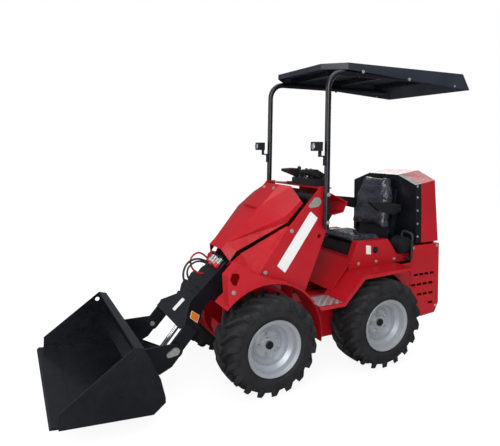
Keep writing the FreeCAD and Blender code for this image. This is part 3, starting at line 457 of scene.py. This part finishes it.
def makeRingTree():
    # the incoming shape, repeated about the wheel's axis
    tree, given = newTree("aroundTheAxle", [("Count", "Int", 18), ("Start", "Float", 0.0),
                                            ("Centre", "Vector", None), ("Material", "Material", None)])
    points = addNode(tree, "GeometryNodePoints", {"Count": given["Count"], "Position": given["Centre"]})
    index = addNode(tree, "GeometryNodeInputIndex")
    share = addNode(tree, "ShaderNodeMath", {0: index.outputs[0], 1: given["Count"]}, operation="DIVIDE")
    angle = addNode(tree, "ShaderNodeMath", {0: share.outputs[0], 1: math.tau, 2: given["Start"]},
                    operation="MULTIPLY_ADD")
    turn = addNode(tree, "ShaderNodeCombineXYZ", {"Y": angle.outputs[0]})
    rotation = addNode(tree, "FunctionNodeEulerToRotation", {0: turn.outputs[0]})
    copies = addNode(tree, "GeometryNodeInstanceOnPoints", {
        "Points": points.outputs[0], "Instance": given["Geometry"], "Rotation": rotation.outputs[0]})
    endTree(tree, copies.outputs[0], given["Material"])
    return tree


boltShape = {"headSides": 6, "washerSides": 16, "washerDepth": 0.002}


def makeBoltTree():
    # a washer and a hexagon head on each point, square to its facing
    tree, given = newTree("boltHeads", [("Head Radius", "Float", 0.008), ("Head Height", "Float", 0.006),
                                        ("Washer Radius", "Float", 0.012), ("Sides", "Int", 6),
                                        ("Material", "Material", None)])
    head = addNode(tree, "GeometryNodeMeshCylinder", {
        "Vertices": given["Sides"], "Radius": given["Head Radius"], "Depth": given["Head Height"]})
    washer = addNode(tree, "GeometryNodeMeshCylinder", {
        "Vertices": boltShape["washerSides"], "Radius": given["Washer Radius"],
        "Depth": boltShape["washerDepth"]})
    half = addNode(tree, "ShaderNodeMath", {0: given["Head Height"], 1: 0.5, 2: boltShape["washerDepth"] / 2},
                   operation="MULTIPLY_ADD")
    rise = addNode(tree, "ShaderNodeCombineXYZ", {"Z": half.outputs[0]})
    raised = addNode(tree, "GeometryNodeTransform", {"Geometry": head.outputs["Mesh"],
                                                     "Translation": rise.outputs[0]})
    bolt = addNode(tree, "GeometryNodeJoinGeometry", {0: raised.outputs[0]})
    tree.links.new(washer.outputs["Mesh"], bolt.inputs[0])
    facing = addNode(tree, "GeometryNodeInputNamedAttribute", {"Name": "facing"}, data_type="FLOAT_VECTOR")
    turn = addNode(tree, "FunctionNodeAlignRotationToVector", {"Vector": facing.outputs[0]}, axis="Z")
    copies = addNode(tree, "GeometryNodeInstanceOnPoints", {
        "Points": given["Geometry"], "Instance": bolt.outputs[0], "Rotation": turn.outputs[0]})
    endTree(tree, copies.outputs[0], given["Material"])
    return tree


def makeStudTree():
    # raised lozenges on a step, every second one turned
    tree, given = newTree("treadStuds", [("Length", "Float", 0.016), ("Width", "Float", 0.005),
                                         ("Height", "Float", 0.0015), ("Material", "Material", None)])
    stud = addNode(tree, "GeometryNodeMeshUVSphere", {"Segments": 8, "Rings": 4, "Radius": 0.5})
    size = addNode(tree, "ShaderNodeCombineXYZ", {"X": given["Length"], "Y": given["Width"],
                                                  "Z": given["Height"]})
    flat = addNode(tree, "GeometryNodeTransform", {"Geometry": stud.outputs["Mesh"],
                                                   "Scale": size.outputs[0]})
    index = addNode(tree, "GeometryNodeInputIndex")
    odd = addNode(tree, "ShaderNodeMath", {0: index.outputs[0], 1: 2.0}, operation="MODULO")
    angle = addNode(tree, "ShaderNodeMath", {0: odd.outputs[0], 1: math.pi / 2, 2: math.pi / 4},
                    operation="MULTIPLY_ADD")
    turn = addNode(tree, "ShaderNodeCombineXYZ", {"Z": angle.outputs[0]})
    rotation = addNode(tree, "FunctionNodeEulerToRotation", {0: turn.outputs[0]})
    copies = addNode(tree, "GeometryNodeInstanceOnPoints", {
        "Points": given["Geometry"], "Instance": flat.outputs[0], "Rotation": rotation.outputs[0]})
    endTree(tree, copies.outputs[0], given["Material"])
    return tree


ringTree = makeRingTree()
boltTree = makeBoltTree()
studTree = makeStudTree()


def boltSet(name, body, places, head, height, washer):
    # places are (point in metres, facing); sizes are in millimetres
    mesh = bpy.data.meshes.new(name)
    mesh.from_pydata([tuple(p) for p, facing in places], [], [])
    attribute = mesh.attributes.new("facing", "FLOAT_VECTOR", "POINT")
    for i, (p, facing) in enumerate(places):
        attribute.data[i].vector = Vector(facing).normalized()
    result = runTree(boltTree, mesh, {"Head Radius": head / 1000, "Head Height": height / 1000,
                                      "Washer Radius": washer / 1000, "Sides": boltShape["headSides"],
                                      "Material": zinc})
    return newPiece(name, result, body)


# Tyres and wheels

tyre = {"radius": 292, "lugs": 18, "lean": 19, "segments": 96}
hubNuts = {"count": 5, "circle": 62, "face": 30, "turn": 0.3, "head": 10, "height": 11, "washer": 16}


def tyreProfile():
    # (y, radius) in millimetres from the inner bead over the crown to the outer bead
    half = [(97, 153.5), (101, 166), (107, 172), (112, 186), (116, 189), (117, 193), (116, 197), (117, 214),
            (116, 232), (112, 246), (104, 255), (90, 261), (60, 266), (30, 268)]
    return [(-y, r) for y, r in half] + [(0, 268.5)] + half[::-1]


def carcassMesh(centre):
    profile = tyreProfile()
    count = tyre["segments"]
    points, faces = [], []
    for i in range(count):
        angle = math.tau * i / count
        for y, r in profile:
            points.append(centre + Vector((math.sin(angle) * r, y, math.cos(angle) * r)) / 1000)
    rows = len(profile)
    for i in range(count):
        j = (i + 1) % count
        for k in range(rows - 1):
            faces.append((i * rows + k, i * rows + k + 1, j * rows + k + 1, j * rows + k))
    return points, faces


def lugMesh(side, roll):
    # one bar from the crown's middle out over the shoulder; angles lean back as it goes out
    stations = [(-6, 291.5, 264, 0, 10, 16), (26, 292, 264, 0.24, 11, 17), (64, 291, 262, 0.62, 12, 18),
                (98, 287, 254, 1.0, 15, 20), (114, 276, 244, 1.12, 17, 21), (118.5, 252, 226, 1.16, 15, 18)]
    lean = math.radians(tyre["lean"])
    points = []
    for y, top, foot, turn, narrow, wide in stations:
        for radius, half in ((top, -narrow), (top, narrow), (foot, wide), (foot, -wide)):
            angle = roll * lean * turn + half / radius
            points.append(Vector((math.sin(angle) * radius, side * y, math.cos(angle) * radius)) / 1000)
    faces = [(0, 1, 2, 3), (20, 21, 22, 23)]
    for i in range(len(stations) - 1):
        for k in range(4):
            n = (k + 1) % 4
            faces.append((4 * i + k, 4 * i + n, 4 * i + 4 + n, 4 * i + 4 + k))
    return points, faces


def wheelCentre(name):
    low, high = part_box("tyre_" + name)
    return (Vector(low) + Vector(high)) / 2


for name in wheelNames:
    centre = wheelCentre(name)
    out = 1 if name.endswith("left") else -1
    body = "wheel_" + name
    parts = []
    for side, start in ((1, 0.0), (-1, math.pi / tyre["lugs"])):
        points, faces = lugMesh(side, -1)
        parts.append(runTree(ringTree, meshFrom("lug", points, faces), {
            "Count": tyre["lugs"], "Start": start, "Centre": centre, "Material": rubber}))
    points, faces = carcassMesh(centre)
    parts.append(meshFrom("carcass", points, faces, True))
    whole = bmesh.new()
    for part in parts:
        whole.from_mesh(part)
    mesh = bpy.data.meshes.new("luggedTyre")
    whole.to_mesh(mesh)
    whole.free()
    piece = newPiece("luggedTyre_" + name, mesh, body, rubber)
    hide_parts("tyre_" + name)
    discFace = centre.y + out * hubNuts["face"] / 1000
    nuts = []
    for i in range(hubNuts["count"]):
        angle = math.tau * i / hubNuts["count"] + hubNuts["turn"]
        ring = hubNuts["circle"] / 1000
        nuts.append((Vector((centre.x + math.sin(angle) * ring, discFace, centre.z + math.cos(angle) * ring)),
                     (0, out, 0)))
    boltSet("wheelNuts_" + name, body, nuts, hubNuts["head"], hubNuts["height"], hubNuts["washer"])
print("tyres and wheel nuts ready")


def turnedMesh(name, centre, axis, line, count=32):
    # a closed ring shape from (along, radius) in millimetres, about any axis
    axis = Vector(axis).normalized()
    across = axis.orthogonal().normalized()
    third = axis.cross(across)
    points, faces = [], []
    for i in range(count):
        angle = math.tau * i / count
        spoke = across * math.cos(angle) + third * math.sin(angle)
        points += [centre + (axis * a + spoke * r) / 1000 for a, r in line]
    rows = len(line)
    for i in range(count):
        j = (i + 1) % count
        for k in range(rows - 1):
            faces.append((i * rows + k, i * rows + k + 1, j * rows + k + 1, j * rows + k))
    faces.append(tuple(i * rows for i in range(count)))
    faces.append(tuple(i * rows + rows - 1 for i in range(count)))
    return meshFrom(name, points, faces)


# Hub centres: a dark collar with the shaft's nut inside
hub = {"face": 38, "collar": [(-2, 24), (9, 24), (11, 22), (11, 15), (3, 14), (3, 9), (12, 9), (13, 8)]}
for name in wheelNames:
    centre = wheelCentre(name)
    out = 1 if name.endswith("left") else -1
    start = centre + Vector((0, out * hub["face"] / 1000, 0))
    newPiece("hubCollar_" + name, turnedMesh("collar", start, (0, out, 0), hub["collar"]),
             "wheel_" + name, plastic)


# Seat: cushion and back, sewn pads swollen by a cloth simulation

seat = {"voxel": 0.006, "pressure": 4.0, "frames": 20, "cap": 0.014, "groove": 3.5, "seamWidth": 6,
        "inset": 4, "roomToSwell": 6}


def cleanCopy(node, name):
    source = frame["nodes"][node]
    mesh = source.data.copy()
    mesh.name = name
    build = bmesh.new()
    build.from_mesh(mesh)
    bmesh.ops.remove_doubles(build, verts=build.verts, dist=0.0002)
    bmesh.ops.recalc_face_normals(build, faces=build.faces)
    build.to_mesh(mesh)
    build.free()
    return mesh


def shrunk(mesh, amount):
    low = Vector([min(v.co[i] for v in mesh.vertices) for i in range(3)])
    high = Vector([max(v.co[i] for v in mesh.vertices) for i in range(3)])
    middle = (low + high) / 2
    size = high - low
    for v in mesh.vertices:
        for i in range(3):
            v.co[i] = middle[i] + (v.co[i] - middle[i]) * (1 - 2 * amount / 1000 / size[i])


def swollen(mesh, name):
    # voxel remesh, then a short cloth simulation with air pressure, each point held to the cap
    carrier = bpy.data.objects.new(name, mesh)
    bpy.context.scene.collection.objects.link(carrier)
    remesh = carrier.modifiers.new("even", "REMESH")
    remesh.mode = "VOXEL"
    remesh.voxel_size = seat["voxel"]
    even = applied(carrier)
    carrier.modifiers.clear()
    carrier.data = even
    before = [v.co.copy() for v in even.vertices]
    cloth = carrier.modifiers.new("swell", "CLOTH")
    cloth.settings.use_pressure = True
    cloth.settings.uniform_pressure_force = seat["pressure"]
    cloth.settings.effector_weights.gravity = 0
    cloth.point_cache.frame_start = 1
    cloth.point_cache.frame_end = seat["frames"]
    for step in range(1, seat["frames"] + 1):
        bpy.context.scene.frame_set(step)
    after = applied(carrier)
    carrier.modifiers.clear()
    for v, start in zip(after.vertices, before):
        move = v.co - start
        if move.length > seat["cap"]:
            v.co = start + move.normalized() * seat["cap"]
    carrier.data = after
    bpy.context.scene.frame_set(1)
    result = carrier.data
    bpy.data.objects.remove(carrier)
    return result


def sewn(mesh, distanceToSeam, depth, width):
    # pulls the skin in along the seams and shades it smooth
    mesh.update()
    normals = [v.normal.copy() for v in mesh.vertices]
    for v, normal in zip(mesh.vertices, normals):
        d = distanceToSeam(v.co)
        if d < 3 * width / 1000:
            v.co -= normal * depth / 1000 * math.exp(-(d * 1000 / width) ** 2)
    for face in mesh.polygons:
        face.use_smooth = True


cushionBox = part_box("seat_cushion")
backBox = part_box("seat_back")


cushionSeams = {"side": 0.058, "front": 0.062, "rear": 0.05}     # metres in from the cushion's edges
backSeams = {"side": 0.062, "top": 0.07, "low": 0.105, "lean": -0.176}


def cushionSeam(p):
    low, high = cushionBox
    if p.z < (low[2] + high[2]) / 2:
        return 1
    across = abs(abs(p.y) - (high[1] - cushionSeams["side"]))
    along = min(abs(p.x - (high[0] - cushionSeams["front"])), abs(p.x - (low[0] + cushionSeams["rear"])))
    inside = abs(p.y) < high[1] - cushionSeams["side"] + 0.01
    return min(across, along if inside else 1)


def backSeam(p):
    low, high = backBox
    half = high[1] - backSeams["side"]
    topRow = high[2] - backSeams["top"]
    if p.x < (low[0] + high[0]) / 2 + (p.z - (low[2] + high[2]) / 2) * backSeams["lean"]:
        return 1
    side = abs(abs(p.y) - half) if p.z < topRow else 1
    rows = min(abs(p.z - height) for height in (low[2] + backSeams["low"], topRow))
    return min(side, rows if abs(p.y) < half else 1)


for node, name, seam in (("seat_cushion", "seatCushionPad", cushionSeam),
                         ("seat_back", "seatBackPad", backSeam)):
    mesh = cleanCopy(node, name)
    shrunk(mesh, seat["inset"] + seat["roomToSwell"])
    mesh = swollen(mesh, name)
    sewn(mesh, seam, seat["groove"], seat["seamWidth"])
    piece = newPiece(name, mesh, "machine", vinyl)
    finer = piece.modifiers.new("finer", "SUBSURF")
    finer.levels = finer.render_levels = 1
    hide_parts(node)
print("seat pads ready")


# Armrests: the CAD pad with soft rounded edges

armPad = {"round": 0.011, "segments": 4, "corner": 35}
for side in ("left", "right"):
    mesh = cleanCopy("armrest_" + side, "armPad")
    piece = newPiece("armrestPad_" + side, mesh, "arm_" + side, plastic)
    soften = piece.modifiers.new("soften", "BEVEL")
    soften.width = armPad["round"]
    soften.segments = armPad["segments"]
    soften.limit_method = "ANGLE"
    soften.angle_limit = math.radians(armPad["corner"])
    for face in mesh.polygons:
        face.use_smooth = True
    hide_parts("armrest_" + side)


# Hoses on the boom's head

hoses = {
    "tiltHose_rise": {"length": 0.356, "diameter": 13, "material": blackHose,
                      "route": [(596, -22, 700), (640, -22, 726), (690, -18, 738), (744, -12, 722),
                                (776, -6, 668), (772, 0, 604), (745, 6, 566), (722, 8, 546)]},
    "tiltHose_drop": {"length": 0.326, "diameter": 12, "material": blackHose,
                      "route": [(600, 24, 690), (650, 26, 724), (708, 26, 734), (760, 22, 694),
                                (756, 20, 634), (718, 18, 590), (690, 18, 570)]},
    "auxHose": {"length": 0.312, "diameter": 12, "material": redHose,
                "route": [(584, -62, 706), (612, -66, 744), (664, -58, 770), (716, -46, 736),
                          (712, -36, 676), (670, -32, 638), (628, -30, 634)]},
}
for name, hose in hoses.items():
    curve = bpy.data.curves.new(name, "CURVE")
    curve.dimensions = "3D"
    curve.bevel_depth = hose["diameter"] / 2000
    curve.bevel_resolution = 4
    curve.resolution_u = 12
    curve.use_fill_caps = True
    spline = curve.splines.new("NURBS")
    spline.points.add(len(hose["route"]) - 1)
    for point, place in zip(spline.points, hose["route"]):
        point.co = tuple(mm(*place)) + (1,)
    spline.order_u = 3
    spline.use_endpoint_u = True
    curve.materials.append(hose["material"])
    piece = bpy.data.objects.new(name, curve)
    bpy.context.scene.collection.objects.link(piece)
    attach(piece, "boom")


# Couplers on the boom, with their dust caps

coupler = {"line": [(0, 9), (0, 15), (14, 15), (15, 12), (30, 12), (31, 16), (44, 16), (46, 13)],
           "cap": [(0, 17), (3, 19), (22, 19), (26, 15), (27, 4)], "capFrom": 0.044, "capped": (0, 1, 3),
           "places": ((600, 74, -62), (600, 74, -22), (606, 74, 20), (592, 74, 56)), "steps": 24}
down = onBoom(1, 0, 0) - onBoom(0, 0, 0)
for i, (u, v, y) in enumerate(coupler["places"]):
    start = onBoom(u, v, y)
    newPiece("coupler_%d" % i, turnedMesh("coupler", start, down, coupler["line"], coupler["steps"]), "boom",
             zinc)
    if i in coupler["capped"]:
        cap = start + down.normalized() * coupler["capFrom"]
        newPiece("dustCap_%d" % i, turnedMesh("cap", cap, down, coupler["cap"], coupler["steps"]), "boom",
                 redCap)
bracketSize = {"u": (586, 600), "v": (boom["topSide"], 92), "y": (-86, 80), "edge": 0.002}
corners = [onBoom(u, v, y) for u in bracketSize["u"] for v in bracketSize["v"] for y in bracketSize["y"]]
mesh = meshFrom("couplerBracket", corners, [(0, 1, 3, 2), (4, 6, 7, 5), (0, 4, 5, 1), (2, 3, 7, 6),
                                            (0, 2, 6, 4), (1, 5, 7, 3)])
bracket = newPiece("couplerBracket", mesh, "boom", black)
edge = bracket.modifiers.new("edge", "BEVEL")
edge.width = bracketSize["edge"]
edge.segments = 2
print("hoses and couplers ready")


# Blank plates and films

def platePiece(name, body, corners, normal, material, thickness=1.0, rounding=0.25):
    # thin plate with rounded corners on four points given in order
    points = []
    count = len(corners)
    for i in range(count):
        before, here, after = corners[i - 1], corners[i], corners[(i + 1) % count]
        short = min((before - here).length, (after - here).length) * rounding
        one = here + (before - here).normalized() * short
        two = here + (after - here).normalized() * short
        for k in range(5):
            t = k / 4
            points.append(one * (1 - t) ** 2 + here * 2 * t * (1 - t) + two * t ** 2)
    lift = Vector(normal).normalized() * thickness / 1000
    total = len(points)
    faces = [tuple(range(total)), tuple(range(total, 2 * total))]
    faces += [(i, (i + 1) % total, total + (i + 1) % total, total + i) for i in range(total)]
    mesh = meshFrom(name, points + [p + lift for p in points], faces)
    return newPiece(name, mesh, body, material)


platePiece("towerStrip", "machine", [mm(322, 328.2, 729), mm(100, 328.2, 1034), mm(48, 328.2, 990),
                                     mm(268, 328.2, 682)], (0, 1, 0), whiteFilm, 0.6, 0.1)
platePiece("seatBoxPlate", "machine", [mm(-369, 280.2, 780), mm(-408, 280.2, 772), mm(-411, 280.2, 714),
                                       mm(-371, 280.2, 722)], (0, 1, 0), whiteFilm, 0.6, 0.12)
strip = [onBoom(u, boom["topSide"] + 0.2, y) for u, y in ((922, -14), (1010, -14), (1010, 30), (922, 30))]
platePiece("boomHeadStrip", "boom", strip, onBoom(0, 1, 0) - onBoom(0, 0, 0), whiteFilm, 0.6, 0.12)


fork = {"top": 910, "low": 885, "end": 1018, "under": -31, "inner": 100, "outer": 237}


def onFlare(along, down):
    # a place on the fork's slanted left face, as shares of its length and its height
    over, under = boom["topSide"], fork["under"]
    top = onBoom(fork["top"], over, fork["inner"]).lerp(onBoom(fork["end"], over, fork["outer"]), along)
    low = onBoom(fork["low"], under, fork["inner"]).lerp(onBoom(fork["end"], under, fork["outer"]), along)
    return top.lerp(low, down)


flare = (onFlare(0.8, 0.5) - onFlare(0.2, 0.5)).cross(onFlare(0.5, 0.2) - onFlare(0.5, 0.8)).normalized()
if flare.y < 0:
    flare = -flare
for name, reach, material, lift in (("flareFilmEdge", 0.16, whiteFilm, 0.4),
                                    ("flareFilm", 0.145, orangeFilm, 0.9)):
    corners = [onFlare(0.5 + a * reach, 0.56 + b * reach * 2) + flare * lift / 1000
               for a, b in ((-1, 1), (1, 1), (1, -1), (-1, -1))]
    platePiece(name, "boom", corners, flare, material, 0.5, 0.14)
print("blank plates ready")


# Sheets that close the body: a rubber flap over the slot behind the boom,
# and a gusset behind each rear fender

def sheetPiece(name, body, outline, y0, y1, material, thickness=0.003):
    # a bent or flat sheet: an (x, z) line drawn across from y0 to y1
    points = [mm(x, y, z) for x, z in outline for y in (y0, y1)]
    faces = [(2 * i, 2 * i + 1, 2 * i + 3, 2 * i + 2) for i in range(len(outline) - 1)]
    piece = newPiece(name, meshFrom(name, points, faces), body, material)
    solid = piece.modifiers.new("sheet", "SOLIDIFY")
    solid.thickness = thickness
    solid.offset = 0
    return piece


flap = {"line": [(-80, 1006), (-40, 944), (-18, 888)], "halfWidth": 300}
sheetPiece("slotFlap", "machine", flap["line"], -flap["halfWidth"], flap["halfWidth"], blackHose)

gusset = {"centre": (-406, 292), "radius": 322, "front": (-560, 630), "rear": (-721, 640), "y": 328,
          "sheet": 4, "steps": 12}
arc = []
for i in range(gusset["steps"] + 1):
    x = gusset["front"][0] + (gusset["rear"][0] - gusset["front"][0]) * i / gusset["steps"]
    arc.append((x, gusset["centre"][1] + math.sqrt(gusset["radius"] ** 2 - (x - gusset["centre"][0]) ** 2)))
outline = arc + [gusset["rear"], gusset["front"]]
for side, turn in (("left", 1), ("right", -1)):
    inside, outside = (gusset["y"] + turn * half for half in (-gusset["sheet"] / 2, gusset["sheet"] / 2))
    count = len(outline)
    points = [mm(x, turn * y, z) for y in (inside, outside) for x, z in outline]
    faces = [tuple(range(count)), tuple(range(count, 2 * count))]
    faces += [(i, (i + 1) % count, count + (i + 1) % count, count + i) for i in range(count)]
    newPiece("rearGusset_" + side, meshFrom("gusset", points, faces), "machine", red)


# Battery switch on the seat box

switch = {"plate": [(0, 22), (2, 22), (3, 20), (3, 4)], "knob": [(3, 13), (16, 12), (18, 10), (18, 3)]}
spot = mm(-446, 280, 742)
newPiece("switchPlate", turnedMesh("plate", spot, (0, 1, 0), switch["plate"]), "machine", plastic)
newPiece("switchKnob", turnedMesh("knob", spot, (0, 1, 0), switch["knob"], 8), "machine", plastic)


# Step tread: chequered strip with raised lozenges

tread = {"pitch": 24, "behind": 14, "beside": 12, "spare": 8, "top": 482, "along": (-80, 92),
         "across": (262, 432), "sheet": 1.5, "rounding": 0.08, "stud": (0.017, 0.0055, 0.003)}
for side in (1, -1):
    rear, front = tread["along"]
    near, far = tread["across"]
    corners = ((front, near), (front, far), (rear, far), (rear, near))
    outline = [mm(x, side * y, tread["top"]) for x, y in corners]
    name = "left" if side > 0 else "right"
    platePiece("treadStrip_" + name, "machine", outline, (0, 0, 1), aluminium, tread["sheet"],
               tread["rounding"])
    studs = []
    for x in range(rear + tread["behind"], front - tread["spare"], tread["pitch"]):
        for y in range(near + tread["beside"], far - tread["spare"], tread["pitch"]):
            studs.append(mm(x, side * y, tread["top"] + tread["sheet"]))
    mesh = bpy.data.meshes.new("studPlaces")
    mesh.from_pydata([tuple(p) for p in studs], [], [])
    length, width, height = tread["stud"]
    result = runTree(studTree, mesh, {"Length": length, "Width": width, "Height": height,
                                      "Material": aluminium})
    newPiece("treadStuds_" + name, result, "machine")


# Work lamps: a bezel and a ribbed lens on each

lampFront = {"bezel": [(0, 26), (5, 26), (6, 24), (6, 21), (2, 20)],
             "lens": [(1, 20), (3, 20), (5, 12), (5.5, 3)], "drop": 0.026}
for side in ("left", "right"):
    low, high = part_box("work_light_" + side)
    middle = Vector((high[0], (low[1] + high[1]) / 2, high[2] - lampFront["drop"]))
    newPiece("lampBezel_" + side, turnedMesh("bezel", middle, (1, 0, 0), lampFront["bezel"]), "machine",
             plastic)
    newPiece("lampLens_" + side, turnedMesh("lens", middle, (1, 0, 0), lampFront["lens"]), "machine", lens)
print("steps, switch and lamps ready")


# Bolts and screws

def sides(points, y):
    places = []
    for x, z in points:
        for side in (1, -1):
            places.append((mm(x, side * y, z), (0, side, 0)))
    return places


hoodSide = {"foot": (-771, 328), "footHeight": 768, "lean": 20 / 412, "taper": 10 / 390, "proud": 0.4,
            "rows": (812, 900, 988, 1076, 1150)}
hoodBolts = []
for z in hoodSide["rows"]:
    rise = z - hoodSide["footHeight"]                                  # the hood's face leans and narrows
    x = hoodSide["foot"][0] + rise * hoodSide["lean"]
    y = hoodSide["foot"][1] - rise * hoodSide["taper"] + hoodSide["proud"]
    hoodBolts += sides([(x, z)], y)
boltRows = [
    # name, body, places, and the head's radius, its height and the washer's radius in millimetres
    ("towerBolts", "machine", sides([(226, 926), (397, 697)], 328) + [(mm(628, 400, 631), (0, 1, 0))],
     9, 6, 13),
    ("seatBoxBolts", "machine", sides([(-313, 662), (-459, 664), (-615, 666)], 280), 7, 5, 11),
    ("postBolts", "machine", sides([(4, 965), (4, 1130)], 371), 8, 6, 12),
    ("roofBolts", "machine", sides([(-214, 1838), (-575, 1818), (-970, 1800)], 372), 7, 5, 10),
    ("hoodScreenBolts", "hood", hoodBolts, 5, 4, 8),
    ("rearBodyBolts", "machine", sides([(-735, 735), (-955, 735), (-735, 290), (-975, 300)], 330), 7, 5, 11),
    ("coverBolts", "boom", [(mm(200, side * 60, 1152), (0.75, 0, 0.66)) for side in (1, -1)], 8, 5, 12),
    ("consoleScrews", "machine", [(mm(x, y, 1208), (0, 0, 1)) for x in (-124, -30) for y in (-68, 76)],
     4, 3, 7),
]
for row in boltRows:
    boltSet(*row)
print("bolts ready")


# Latch handle at the hood's rear

handle = {"across": 60, "stand": 26, "thick": 9, "x": -942, "z": 1010}
route = [(0, -1), (-1, -1), (-1, 1), (0, 1)]         # shares of the stand and of the width across
curve = bpy.data.curves.new("hoodHandle", "CURVE")
curve.dimensions = "3D"
curve.bevel_depth = handle["thick"] / 2000
curve.bevel_resolution = 3
curve.use_fill_caps = True
spline = curve.splines.new("BEZIER")
spline.bezier_points.add(3)
for point, (out, across) in zip(spline.bezier_points, route):
    point.co = mm(handle["x"] + out * handle["stand"], across * handle["across"], handle["z"])
    point.handle_left_type = point.handle_right_type = "AUTO"
curve.materials.append(plastic)
piece = bpy.data.objects.new("hoodHandle", curve)
bpy.context.scene.collection.objects.link(piece)
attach(piece, "hood")

print("pieces finished")
